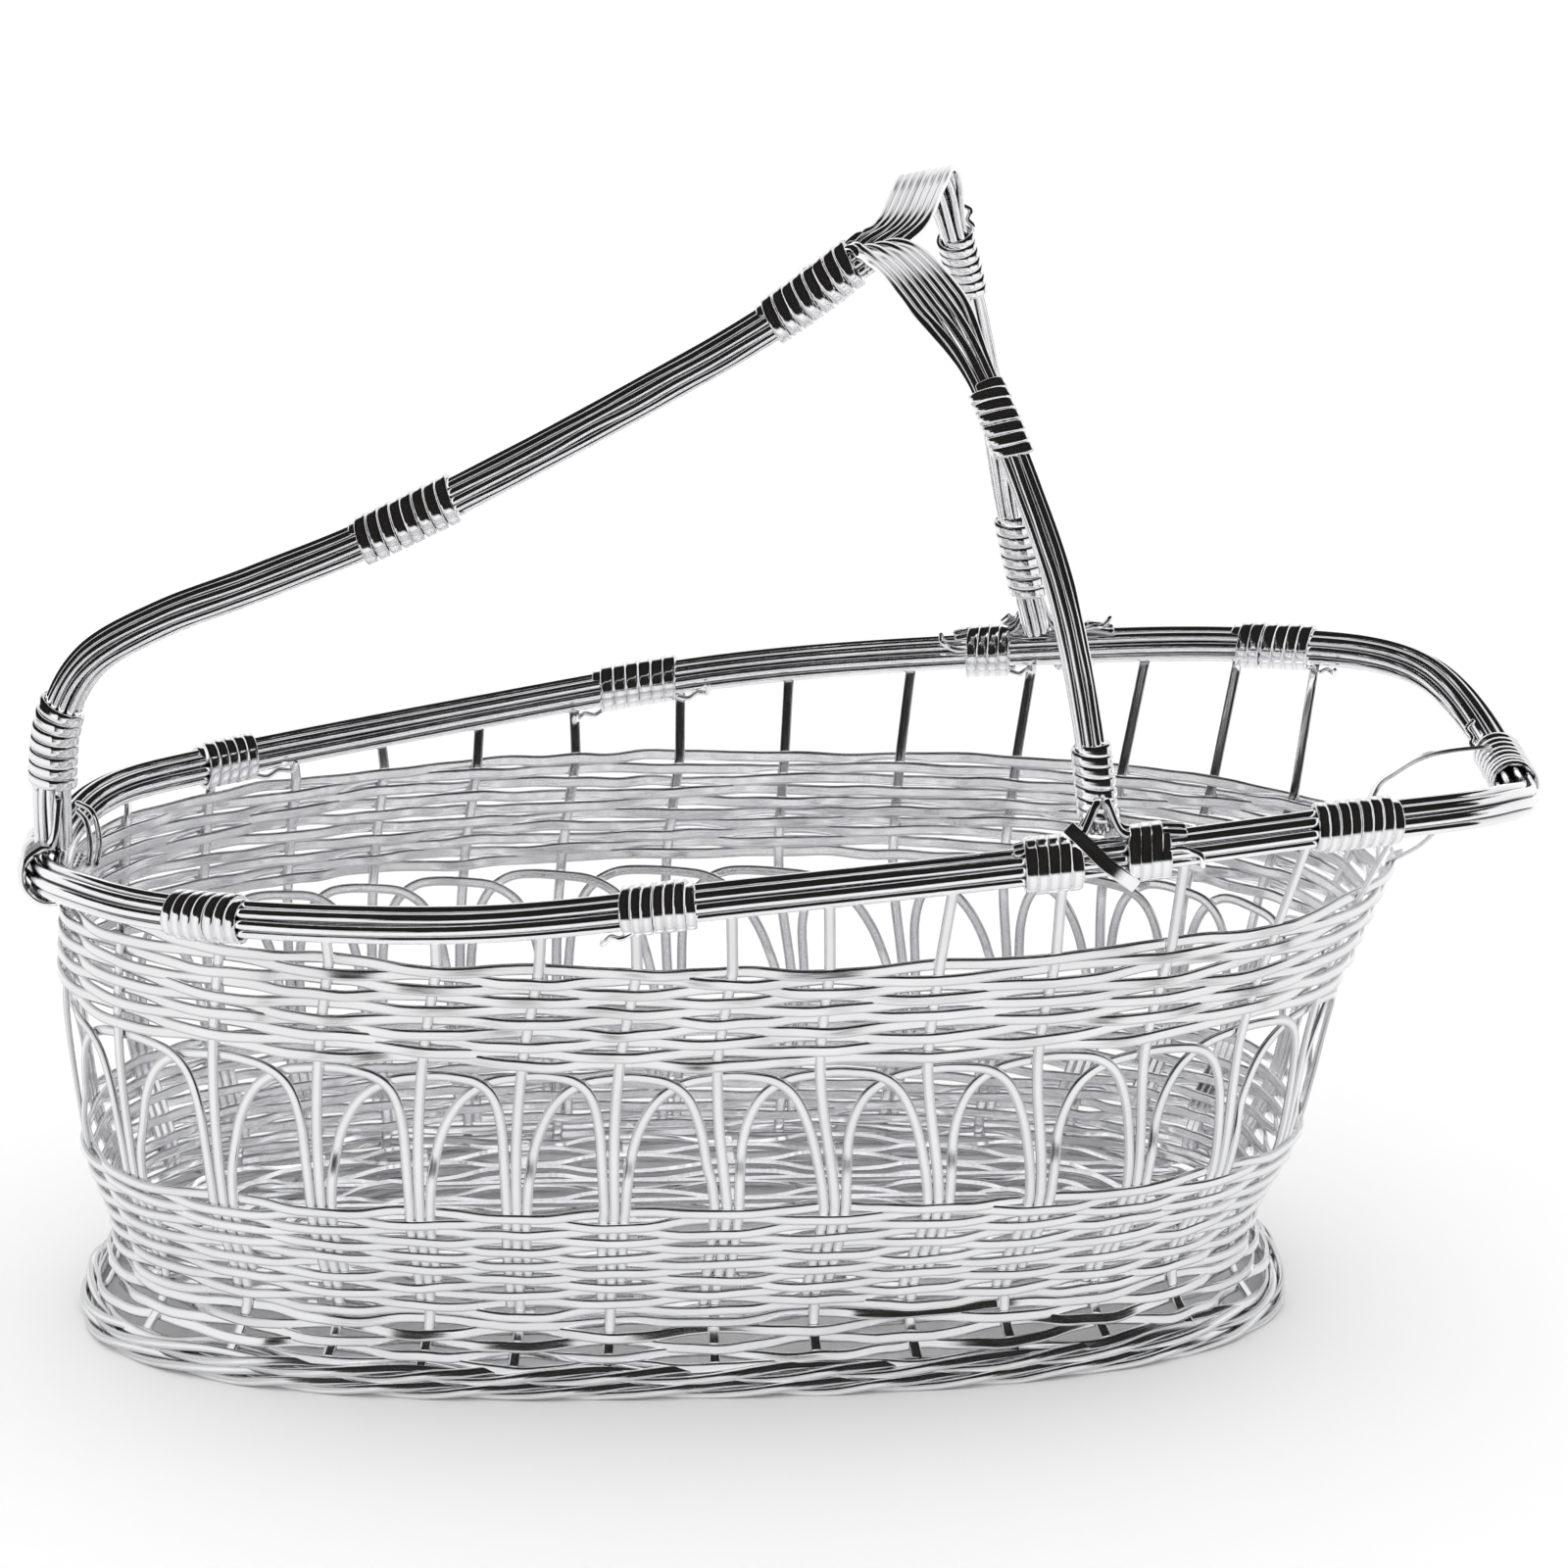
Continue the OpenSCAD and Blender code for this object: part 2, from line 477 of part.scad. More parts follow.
// ---------------------------------------------------------------- output
floor_cross_sticks();
floor_long_sticks();
floor_weave_over();
floor_weave_under();
foot_border_lower();
foot_border_upper();
foot_weave();
side_stakes();
spout_stay_front();
spout_stay_rear();
lower_weaver_a();
lower_weaver_b();
lower_binding_row();
arcade_arches();
upper_weaver_a();
upper_weaver_b();
upper_binding_row();
rim_core();
rim_strands();
rim_curl_front();
rim_curl_rear();
rim_wrap_front_heel();
rim_wrap_front_middle();
rim_wrap_front_spout();
rim_wrap_rear_heel();
rim_wrap_rear_middle();
rim_wrap_rear_spout();
rim_wrap_tip();
handle_core();
handle_strands();
handle_wrap_base();
handle_wrap_middle();
handle_wrap_top();
hoop_core_front();
hoop_core_rear();
hoop_strands_front();
hoop_strands_rear();
hoop_wrap_front_upper();
hoop_wrap_front_lower();
hoop_wrap_rear_upper();
hoop_wrap_rear_lower();
hoop_splay_front();
hoop_splay_rear();
foot_binding_front_heel();
foot_binding_front_spout();
foot_binding_rear_heel();
foot_binding_rear_spout();
foot_strap_front();
foot_strap_rear();
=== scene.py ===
import math

import bpy
import numpy as np
from mathutils import Matrix, Vector


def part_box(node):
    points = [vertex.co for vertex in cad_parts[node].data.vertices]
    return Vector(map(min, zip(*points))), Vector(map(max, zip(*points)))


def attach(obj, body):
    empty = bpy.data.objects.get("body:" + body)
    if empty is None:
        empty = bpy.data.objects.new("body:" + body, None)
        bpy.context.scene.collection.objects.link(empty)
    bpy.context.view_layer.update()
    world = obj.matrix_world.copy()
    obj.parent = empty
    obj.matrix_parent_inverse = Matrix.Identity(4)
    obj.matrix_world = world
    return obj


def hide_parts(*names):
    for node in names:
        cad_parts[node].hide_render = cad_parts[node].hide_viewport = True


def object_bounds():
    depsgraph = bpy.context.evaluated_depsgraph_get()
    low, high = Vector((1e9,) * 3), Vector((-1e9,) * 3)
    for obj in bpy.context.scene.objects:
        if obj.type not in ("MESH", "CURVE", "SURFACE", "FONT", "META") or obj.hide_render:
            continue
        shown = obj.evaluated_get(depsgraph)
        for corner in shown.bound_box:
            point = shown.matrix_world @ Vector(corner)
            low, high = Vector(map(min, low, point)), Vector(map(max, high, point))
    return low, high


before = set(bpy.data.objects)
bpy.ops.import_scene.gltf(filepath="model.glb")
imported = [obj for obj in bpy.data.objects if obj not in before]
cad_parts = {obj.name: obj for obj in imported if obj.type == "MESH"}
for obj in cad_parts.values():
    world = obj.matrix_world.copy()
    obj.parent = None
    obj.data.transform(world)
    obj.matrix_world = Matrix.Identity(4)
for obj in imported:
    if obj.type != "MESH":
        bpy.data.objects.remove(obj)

CAD_LO, CAD_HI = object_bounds()
MM = 0.001


def corners(node):
    """Lowest and highest corner of a CAD node, in millimetres."""
    lo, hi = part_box(node)
    return np.array(lo) / MM, np.array(hi) / MM


# ---------------------------------------------------------------- sizes of the stock
RIBBON_T = 0.8        # thickness of the flat ribbon
RIBBON_W = 2.0        # its width
WIRE_D = 1.45         # round wire of the handle and its hoop
RIM_WIRE_D = 1.95     # heavier round wire of the rim
WRAP_T = 0.95         # thickness of the flat wire wound round the bundles
SKIN = 0.02           # gap between ribbons that touch
TOUCH = 0.03          # gap between round wires that touch
BORE_GAP = 0.08       # gap between a bundle and the wire wound round it
LINE_STEP = 0.6       # a line's direction is taken this far to each side


# ---------------------------------------------------------------- vectors and lines
def unit(v):
    return v / np.linalg.norm(v, axis=-1, keepdims=True)


def square_to(v, t):
    """Direction square to t that is nearest to v."""
    return unit(v - (v * t).sum(-1, keepdims=True) * t)


def ease(x):
    """0 below 0, 1 above 1, smooth between."""
    x = np.clip(x, 0, 1)
    return x * x * (3 - 2 * x)


def smooth(points, closed=False, steps=24):
    """Catmull-Rom line through the points."""
    p = np.asarray(points, float)
    if closed:
        p = np.vstack([p[-1:], p, p[:2]])
    else:
        p = np.vstack([2 * p[0] - p[1], p, 2 * p[-1] - p[-2]])
    t = (np.arange(steps) / steps)[:, None]
    runs = []
    for a, b, c, d in zip(p, p[1:], p[2:], p[3:]):
        runs.append(0.5 * (2 * b + (c - a) * t + (2 * a - 5 * b + 4 * c - d) * t ** 2
                           + (3 * b - a - 3 * c + d) * t ** 3))
    line = np.vstack(runs)
    return line if closed else np.vstack([line, p[-2:-1]])


def wander(s, span, size, seed, lowest=1, highest=6):
    """Smooth seeded unevenness along a length; over a closed line it meets itself."""
    dice = np.random.default_rng(seed)
    total = np.zeros_like(s)
    for n in range(lowest, highest + 1):
        total += dice.normal() * np.sin(2 * np.pi * (n * s / span + dice.random()))
    return size * total / math.sqrt(highest - lowest + 1)


class Line:
    """A smooth centre line measured along its length, with a sideways direction at each point."""

    def __init__(self, points, side, closed=False):
        self.closed = closed
        self.side = side
        dense = smooth(points, closed)
        if closed:
            dense = np.vstack([dense, dense[:1]])
        self.points = dense
        self.s = np.concatenate([[0], np.cumsum(np.linalg.norm(np.diff(dense, axis=0), axis=1))])
        self.length = self.s[-1]

    def at(self, s):
        if self.closed:
            s = s % self.length
        return np.stack([np.interp(s, self.s, self.points[:, i]) for i in range(3)], -1)

    def frame(self, s):
        """Point, direction, sideways direction and the third direction at a distance s."""
        p = self.at(s)
        t = unit(self.at(s + LINE_STEP) - self.at(s - LINE_STEP))
        n = square_to(self.side(p), t)
        return p, t, n, np.cross(t, n)

    def nearest(self, point):
        return self.s[np.argmin(np.linalg.norm(self.points - point, axis=1))]


def towards(*v):
    """A sideways direction that is the same all along a line."""
    return lambda p: np.broadcast_to(np.array(v, float), p.shape)


# ---------------------------------------------------------------- profiles and sweeps
def round_profile(d, sides=10):
    """Round wire. The third column is painted shade and tarnish: 0 on the side that shows, 1 where wires
    touch.
    """
    a = 2 * np.pi * (np.arange(sides) + 0.5) / sides
    return np.stack([d / 2 * np.cos(a), d / 2 * np.sin(a), (1 - np.cos(a)) / 2], -1)


EDGE_LOOP = 1.9       # distance of a loop from the ribbon's edge, in corner radii
FACE_TARNISH_AND_SHADE = 0.2       # painted shade and tarnish of a ribbon's broad faces; its corners have 1


def ribbon_profile(t, w, corner=0.17):
    """Flat ribbon with rounded corners; loops beside each corner keep the broad faces flat."""
    pts = []
    for su, sv, first in ((1, -1, -90), (1, 1, 0), (-1, 1, 90), (-1, -1, 180)):
        middle = np.array([su * (t / 2 - corner), sv * (w / 2 - corner)])
        if su == sv:
            pts.append((su * t / 2, sv * (w / 2 - EDGE_LOOP * corner), FACE_TARNISH_AND_SHADE))
        for turn in (4, 45, 86):
            a = math.radians(first + turn)
            pts.append((*(middle + corner * np.array([math.cos(a), math.sin(a)])), 1))
        if su != sv:
            pts.append((su * t / 2, sv * (w / 2 - EDGE_LOOP * corner), FACE_TARNISH_AND_SHADE))
    return np.array(pts)


END_RINGS = ((0.95, 0.4), (0.6, 0.82))    # rounded ends: distance out and size, in half thicknesses


def sweep(path, side, profile, closed=False):
    """Closed mesh of one profile carried along a path; profile x points to the wanted side."""
    path = np.asarray(path, float)
    ahead = np.roll(path, -1, 0) - np.roll(path, 1, 0) if closed else np.gradient(path, axis=0)
    t = unit(ahead)
    n = square_to(np.broadcast_to(np.asarray(side, float), path.shape), t)
    b = np.cross(t, n)
    size = np.ones(len(path))
    if not closed:
        r = np.abs(profile[:, :2]).max(0).min()
        out = np.array([d for d, _ in END_RINGS])[:, None] * r
        shrink = np.array([k for _, k in END_RINGS])
        path = np.vstack([path[0] - out * t[0], path, (path[-1] + out * t[-1])[::-1]])
        size = np.concatenate([shrink, size, shrink[::-1]])
        n = np.vstack([n[:1]] * len(shrink) + [n] + [n[-1:]] * len(shrink))
        b = np.vstack([b[:1]] * len(shrink) + [b] + [b[-1:]] * len(shrink))
    rings, m = len(path), len(profile)
    u, v = profile[:, 0], profile[:, 1]
    verts = (path[:, None] + (size[:, None] * u)[:, :, None] * n[:, None]
             + (size[:, None] * v)[:, :, None] * b[:, None]).reshape(-1, 3)
    i = np.arange(rings if closed else rings - 1)[:, None]
    j = np.arange(m)[None]
    nxt, turn = (i + 1) % rings, (j + 1) % m
    quads = np.stack([i * m + j, i * m + turn, nxt * m + turn, nxt * m + j], -1).reshape(-1, 4)
    caps = [] if closed else [np.arange(m)[::-1], (rings - 1) * m + np.arange(m)]
    steps = np.linalg.norm(np.diff(path, axis=0), axis=1)
    along = np.repeat(np.concatenate([[0], np.cumsum(steps)]), m)
    across = np.tile(np.arange(m) / m, rings)
    # painted shade and tarnish of each vertex, from the profile's third column
    tarnish_and_shade = np.tile(profile[:, 2], rings)
    return verts, quads, caps, np.stack([along, across, tarnish_and_shade], -1)


STRAND_STEP = 0.37    # how much the strand mark grows from one part of a piece to the next


def piece(node, slot, parts):
    """One object made of swept parts, which stands for the CAD node of the same name."""
    verts, faces, marks, base = [], [], [], 0
    for number, (v, quads, caps, mark) in enumerate(parts):
        verts.append(v)
        faces += (quads + base).tolist() + [(c + base).tolist() for c in caps]
        marks.append(np.column_stack([mark, np.full(len(mark), number * STRAND_STEP)]))
        base += len(v)
    mesh = bpy.data.meshes.new(node + "_look")
    mesh.from_pydata(np.vstack(verts) * MM, [], faces)
    marks = np.vstack(marks)
    for i, name in enumerate(MARKS):
        layer = mesh.attributes.new(name, "FLOAT", "POINT")
        layer.data.foreach_set("value", marks[:, i].astype(np.float32))
    mesh.shade_smooth()
    mesh.materials.append(MATERIALS[slot])
    made = bpy.data.objects.new(node + "_look", mesh)
    bpy.context.scene.collection.objects.link(made)
    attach(made, "root")
    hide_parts(node)
    return made


# ---------------------------------------------------------------- silver plate
def math_node(nodes, links, kind, a, b):
    made = nodes.new("ShaderNodeMath")
    made.operation = kind
    for socket, value in zip(made.inputs, (a, b)):
        if isinstance(value, (int, float)):
            socket.default_value = value
        else:
            links.new(value, socket)
    return made.outputs[0]


def noise(nodes, links, scale, detail, vector):
    made = nodes.new("ShaderNodeTexNoise")
    made.inputs["Scale"].default_value = scale
    made.inputs["Detail"].default_value = detail
    links.new(vector, made.inputs["Vector"])
    return made.outputs["Fac"]


def value_map(nodes, links, value, low, high, to_low=0.0, to_high=1.0, kind="SMOOTHSTEP"):
    """Ramp from to_low at low to to_high at high; flat beyond them."""
    made = nodes.new("ShaderNodeMapRange")
    made.interpolation_type = kind
    made.inputs["From Min"].default_value = low
    made.inputs["From Max"].default_value = high
    made.inputs["To Min"].default_value = to_low
    made.inputs["To Max"].default_value = to_high
    links.new(value, made.inputs["Value"])
    return made.outputs["Result"]


# the third mark paints shade and tarnish where pieces touch and on ribbon corners
MARKS = ("along", "across", "tarnish_and_shade", "strand")    # what each vertex knows of its place on the stock
DRAWN_RATES = {"along": 0.06, "across": 9.0, "strand": 11.0}    # how fast drawn lines change each way
DRAWN_SCALE, DRAWN_DETAIL = 3.0, 4.0
DRAWN_LOW, DRAWN_HIGH = 0.3, 0.7                 # noise values that give the least and most roughness
DRAWN_DEPTH = 0.0001                             # in metres
CLOUD_SCALE, CLOUD_DETAIL = 55.0, 3.0
CLOUD_SHARE, CLOUD_CLEAR = 0.25, 0.08            # how dull clouds get, and how much of that is lost


def silver(name, bright, dull, rough, streak, tarnish_and_shade_share, reflection_shade):
    """Polished silver plate: drawn lines along the stock, faint clouding, tarnish and painted shade
    where pieces meet.

    bright and dull are its two colours, rough the least and most roughness, streak the strength of
    the drawn lines, and tarnish_and_shade_share the share of the dull colour, as painted shade and
    tarnish, where tarnish_and_shade is 1. Where the metal is seen in other metal, reflection_shade takes
    it towards its dull colour as painted shade.
    """
    made = bpy.data.materials.new(name)
    made.use_nodes = True
    nodes, links = made.node_tree.nodes, made.node_tree.links
    shader = nodes["Principled BSDF"]
    shader.inputs["Metallic"].default_value = 1.0

    marks = {}
    for mark in MARKS:
        reader = nodes.new("ShaderNodeAttribute")
        reader.attribute_name = mark
        marks[mark] = reader.outputs["Fac"]
    drawn = nodes.new("ShaderNodeCombineXYZ")
    for socket, (mark, rate) in zip(drawn.inputs, DRAWN_RATES.items()):
        links.new(math_node(nodes, links, "MULTIPLY", marks[mark], rate), socket)
    lines = noise(nodes, links, DRAWN_SCALE, DRAWN_DETAIL, drawn.outputs[0])
    place = nodes.new("ShaderNodeTexCoord")
    cloud = noise(nodes, links, CLOUD_SCALE, CLOUD_DETAIL, place.outputs["Object"])

    # painted shade and tarnish: the metal turns towards its dull colour where pieces touch and on ribbon
    # corners
    tarnish_and_shade_here = math_node(nodes, links, "MULTIPLY", marks["tarnish_and_shade"], tarnish_and_shade_share)
    cloudy = math_node(nodes, links, "MULTIPLY", cloud, CLOUD_SHARE)
    cloudy = math_node(nodes, links, "SUBTRACT", cloudy, CLOUD_CLEAR)
    share = math_node(nodes, links, "ADD", tarnish_and_shade_here, cloudy)
    # painted shade: metal seen in the reflection of other metal is taken towards its dull colour
    seen_in_metal = nodes.new("ShaderNodeLightPath").outputs["Is Glossy Ray"]
    painted_reflection_shade = math_node(nodes, links, "MULTIPLY", seen_in_metal, reflection_shade)
    share = math_node(nodes, links, "ADD", share, painted_reflection_shade)
    tint = nodes.new("ShaderNodeMix")
    tint.data_type = "RGBA"
    tint.inputs["A"].default_value = (*bright, 1)
    tint.inputs["B"].default_value = (*dull, 1)
    links.new(share, tint.inputs["Factor"])
    links.new(tint.outputs["Result"], shader.inputs["Base Color"])

    spread = value_map(nodes, links, lines, DRAWN_LOW, DRAWN_HIGH, *rough, kind="LINEAR")
    links.new(spread, shader.inputs["Roughness"])

    bump = nodes.new("ShaderNodeBump")
    bump.inputs["Strength"].default_value = streak
    bump.inputs["Distance"].default_value = DRAWN_DEPTH
    links.new(lines, bump.inputs["Height"])
    links.new(bump.outputs["Normal"], shader.inputs["Normal"])
    return made


# each material's share of the dull colour where pieces touch is painted shade and tarnish
MATERIALS = {
    "ribbon": silver("silver_ribbon", bright=(0.88, 0.88, 0.89), dull=(0.18, 0.18, 0.19),
                     rough=(0.11, 0.22), streak=0.15, tarnish_and_shade_share=0.44, reflection_shade=0.0),
    "wire": silver("silver_wire", bright=(0.90, 0.90, 0.91), dull=(0.12, 0.12, 0.13),
                   # the wire is painted darker where it is seen in other metal: painted shade in
                   # reflections
                   rough=(0.05, 0.12), streak=0.12, tarnish_and_shade_share=0.42, reflection_shade=0.55),
    "wrap": silver("silver_wrap", bright=(0.93, 0.93, 0.94), dull=(0.30, 0.30, 0.31),
                   rough=(0.06, 0.14), streak=0.12, tarnish_and_shade_share=0.35, reflection_shade=0.0),
}

# ---------------------------------------------------------------- the woven wall
BAYS = 30
SPAN_STEPS = 14                       # mesh rings along each bay

foot_lo, foot_hi = corners("foot_border_lower")
low_lo, low_hi = corners("lower_binding_row")
top_lo, top_hi = corners("upper_binding_row")
FOOT_X = (foot_lo[0] + foot_hi[0]) / 2
BORDER_PROUD = 1.8                    # border strand outside the wall's middle surface
ROW_PROUD = 1.18                      # weaver outside the wall's middle surface
FOOT_A, FOOT_B = (foot_hi[:2] - foot_lo[:2]) / 2 - BORDER_PROUD
LOW_A, LOW_B = (low_hi[:2] - low_lo[:2]) / 2 - ROW_PROUD
TOP_A, TOP_B = (top_hi[:2] - top_lo[:2]) / 2 - ROW_PROUD
LOW_SHIFT = (low_lo[0] + low_hi[0]) / 2 - FOOT_X
TOP_SHIFT = (top_lo[0] + top_hi[0]) / 2 - FOOT_X
WAIST_Z = 10.0
LOWER_TOP = low_hi[2]
UPPER_BOTTOM = corners("upper_weaver_a")[0][2]
UPPER_TOP = top_hi[2]

SQUARE = 2.6                          # squareness of the lower wall and the floor; 2 is an ellipse

# height, half length, half width, centre shift and squareness of the wall's oval, from the foot
# through the waist and the top of the lower band to the bottom and the top of the upper band
WALL = np.array([
    [0, FOOT_A + 0.6, FOOT_B + 0.6, 0, SQUARE],
    [4, FOOT_A, FOOT_B, 0, SQUARE],
    [WAIST_Z, FOOT_A - 3.7, FOOT_B - 2.5, 0, SQUARE],
    [LOWER_TOP, LOW_A, LOW_B, LOW_SHIFT, SQUARE],
    [UPPER_BOTTOM, LOW_A + 0.58 * (TOP_A - LOW_A), LOW_B + 0.34 * (TOP_B - LOW_B),
     LOW_SHIFT + 0.32 * (TOP_SHIFT - LOW_SHIFT), 2.4],
    [UPPER_TOP, TOP_A, TOP_B, TOP_SHIFT, 2.3],
])
WALL_SLOPE = np.gradient(WALL, WALL[:, 0], axis=0)


def wall_value(z, column):
    """Smooth value of one wall column at a height (cubic between levels, straight beyond them)."""
    z = np.asarray(z, float)
    i = np.clip(np.searchsorted(WALL[:, 0], z) - 1, 0, len(WALL) - 2)
    z0, z1 = WALL[i, 0], WALL[i + 1, 0]
    h = z1 - z0
    t = np.clip((z - z0) / h, 0, 1)
    a, b = WALL[i, column], WALL[i + 1, column]
    ma, mb = WALL_SLOPE[i, column] * h, WALL_SLOPE[i + 1, column] * h
    inside = ((2 * t ** 3 - 3 * t ** 2 + 1) * a + (t ** 3 - 2 * t ** 2 + t) * ma
              + (3 * t ** 2 - 2 * t ** 3) * b + (t ** 3 - t ** 2) * mb)
    beyond = np.maximum(z - WALL[-1, 0], 0) * WALL_SLOPE[-1, column]
    return inside + beyond


def signed_power(v, e):
    return np.sign(v) * np.abs(v) ** e


def oval(t, z):
    """Point of the wall's oval at angle t and height z, and its level outward direction."""
    n, a, b = wall_value(z, 4), wall_value(z, 1), wall_value(z, 2)
    c, s = np.cos(t), np.sin(t)
    x = FOOT_X + wall_value(z, 3) + a * signed_power(c, 2 / n)
    y = b * signed_power(s, 2 / n)
    out = np.stack([signed_power(c, 2 - 2 / n) / a, signed_power(s, 2 - 2 / n) / b, 0 * x], -1)
    return np.stack([x, y, z + 0 * x], -1), unit(out)


ARC_T = np.linspace(0, 2 * np.pi, 1441)
ARC_P = oval(ARC_T, np.full_like(ARC_T, UPPER_BOTTOM))[0]
ARC_S = np.concatenate([[0], np.cumsum(np.linalg.norm(np.diff(ARC_P, axis=0), axis=1))])
GIRTH = ARC_S[-1]
BAY = GIRTH / BAYS


UPRIGHT_SHIFT = 5.4                   # the upper band's oval lies this far forward; stakes stay upright
UPRIGHT_OVER = 4.0                    # the shift runs on this far above the band
UNEVEN_ALL = 1.3                      # every stake stands this much aside
UNEVEN = ((1, 3.4, -0.78), (2, 1.4, -1.9), (3, 3.4, 2.49))   # waves round the wall: turns, size, phase
SPOUT_SET = 6.5                       # the stakes on the rear of the spout stand this much further back
SPOUT_SET_AT, SPOUT_SET_REACH = 1.2, 1.9    # in bays from the spout end, and to each side of that


def set_by_hand(s, z):
    """Distance by which the weaver's hand set a stake aside from its even place round the wall."""
    turn = 2 * np.pi * s / GIRTH
    aside = UNEVEN_ALL + sum(size * np.sin(n * turn + phase) for n, size, phase in UNEVEN)
    below = (UPPER_TOP - np.clip(z, LOWER_TOP, UPPER_TOP + UPRIGHT_OVER)) / (UPPER_TOP - LOWER_TOP)
    bays_round = BAYS * ((s / GIRTH + 0.5) % 1 - 0.5)
    at_spout = SPOUT_SET * np.exp(-((bays_round - SPOUT_SET_AT) / SPOUT_SET_REACH) ** 2)
    return aside + at_spout - UPRIGHT_SHIFT * below * np.sin(turn)


def oval_angle(s, z):
    return np.interp((s + set_by_hand(s, z)) % GIRTH, ARC_S, ARC_T)


def wall_point(s, z, out=0.0):
    """Point at a distance s round the wall from the spout end, a height z and a distance outwards."""
    s, z = np.broadcast_arrays(np.asarray(s, float), np.asarray(z, float))
    p, level = oval(oval_angle(s, z), z)
    return p + np.asarray(out)[..., None] * level


def wall_out(s, z, lean_share=1.0):
    """Outward direction: level at lean_share 0, square to the leaning wall at 1."""
    s, z = np.broadcast_arrays(np.asarray(s, float), np.asarray(z, float))
    t = oval_angle(s, z)
    level = oval(t, z)[1]
    lean = unit(oval(t, z + 1.0)[0] - oval(t, np.maximum(z - 1.0, 0))[0])
    return unit(level + lean_share * (square_to(level, lean) - level))


def stake_s(k):
    return (k + 0.5) * BAY


# waves round the wall: their number, turns per millimetre of height, start in turns, and size
RIPPLES = ((3, 0.05, 0.1, 0.35), (7, 0.09, 0.5, 0.25), (13, 0.13, 0.8, 0.16), (22, 0.21, 0.3, 0.12))


def ripple(s, z):
    """Hand-made unevenness in height that neighbouring rows share."""
    total = 0 * s
    for n, rate, phase, size in RIPPLES:
        total = total + size * np.sin(2 * np.pi * (n * s / GIRTH + rate * z + phase))
    return total


ROW_CORNER = 0.3                      # rounding of a weaver's edges
UPRIGHT = 0.2                         # weavers stand this share of the way to square on the wall
LAP = 0.1                             # height by which neighbouring rows overlap
ROW_WANDER, ROW_NOD = 0.10, 0.04      # size of a row's own waver, and its turn where it is in front
ROUND_WALL = np.linspace(0, GIRTH, BAYS * SPAN_STEPS, endpoint=False)


def weave_row(z, height, row, hold, swing=0.22, roll=0.06, waves=40):
    """One ribbon in front of one stake and behind the next.

    swing is how far it dips where it is in front; roll and waves are the size and the number of
    waves in the turn of its face; hold is how flat it lies over the stakes.
    """
    s = ROUND_WALL
    beat = (-1) ** row * np.cos(np.pi * (s / BAY - 0.5))
    out = (RIBBON_T - SKIN) * np.tanh(hold * beat) / np.tanh(hold)
    level = z - swing * beat + ripple(s, z) + wander(s, GIRTH, ROW_WANDER, 100 + row + int(z), 20, 60)
    side = wall_out(s, level, UPRIGHT)
    side[:, 2] += ROW_NOD * beat + wander(s, GIRTH, roll, 300 + row + int(z), 3, waves)
    return sweep(wall_point(s, level, out), side, ribbon_profile(RIBBON_T, height, ROW_CORNER), True)


def weave_band(node, z0, z1, rows, chosen, hold, **manner):
    """The chosen rows of a band that has evenly spread rows from z0 to z1."""
    pitch = (z1 - z0) / rows
    piece(node, "ribbon", [weave_row(z0 + (i + 0.5) * pitch, pitch + LAP, i, hold, **manner)
                           for i in chosen])


LOWER_ROWS, UPPER_ROWS, FOOT_ROWS = 13, 10, 5
LOWER_BOTTOM = corners("lower_weaver_a")[0][2]
FOOT_GAP = 2.4                        # the loose rows start this far above the lower border's top
TRIPLE_HOLD, SINGLE_HOLD = 1.6, 1.1   # how flat a row lies over three ribbons and over one


def build_weave():
    lower, upper = (LOWER_BOTTOM, LOWER_TOP, LOWER_ROWS), (UPPER_BOTTOM, UPPER_TOP, UPPER_ROWS)
    weave_band("lower_weaver_a", *lower, range(0, LOWER_ROWS - 1, 2), TRIPLE_HOLD)
    weave_band("lower_weaver_b", *lower, range(1, LOWER_ROWS - 1, 2), TRIPLE_HOLD)
    weave_band("lower_binding_row", *lower, [LOWER_ROWS - 1], TRIPLE_HOLD)
    weave_band("upper_weaver_a", *upper, range(0, UPPER_ROWS - 1, 2), SINGLE_HOLD)
    weave_band("upper_weaver_b", *upper, range(1, UPPER_ROWS - 1, 2), SINGLE_HOLD)
    weave_band("upper_binding_row", *upper, [UPPER_ROWS - 1], SINGLE_HOLD)
    weave_band("foot_weave", foot_hi[2] + FOOT_GAP, LOWER_BOTTOM, FOOT_ROWS, range(FOOT_ROWS),
               SINGLE_HOLD, swing=0.26, roll=0.3, waves=11)


BORDER_T, BORDER_W, BORDER_CORNER = 1.0, 1.8, 0.42
BORDER_STRANDS = 3
BORDER_R = 1.0                        # radius on which the strands run round each other
BORDER_OUT = 0.5                      # their middle stands this far outside the wall
BORDER_LEAN = 0.5                     # how far a strand's face turns with its way round
BORDER_FLOOR = 0.75                   # a strand's middle stays this high above the table
BORDER_LOWER_Z, BORDER_UPPER_Z = 1.75, 4.3


def border(node, z, row):
    """Three strands twisted round each other, one crossing over the outside of each bay."""
    s = ROUND_WALL
    profile = ribbon_profile(BORDER_T, BORDER_W, BORDER_CORNER)
    parts = []
    for j in range(BORDER_STRANDS):
        turn = 2 * np.pi * (s / BAY / 3 + j / 3 + row / 6)
        level = z + BORDER_R * np.sin(turn) + wander(s, GIRTH, 0.12, 500 + 10 * row + j, 6, 40)
        out = BORDER_OUT + BORDER_R * np.cos(turn)
        side = wall_out(s, level, UPRIGHT) + BORDER_LEAN * np.sin(turn)[:, None] * np.array([0, 0, 1])
        parts.append(sweep(wall_point(s, np.maximum(level, BORDER_FLOOR), out), side, profile, True))
    piece(node, "ribbon", parts)


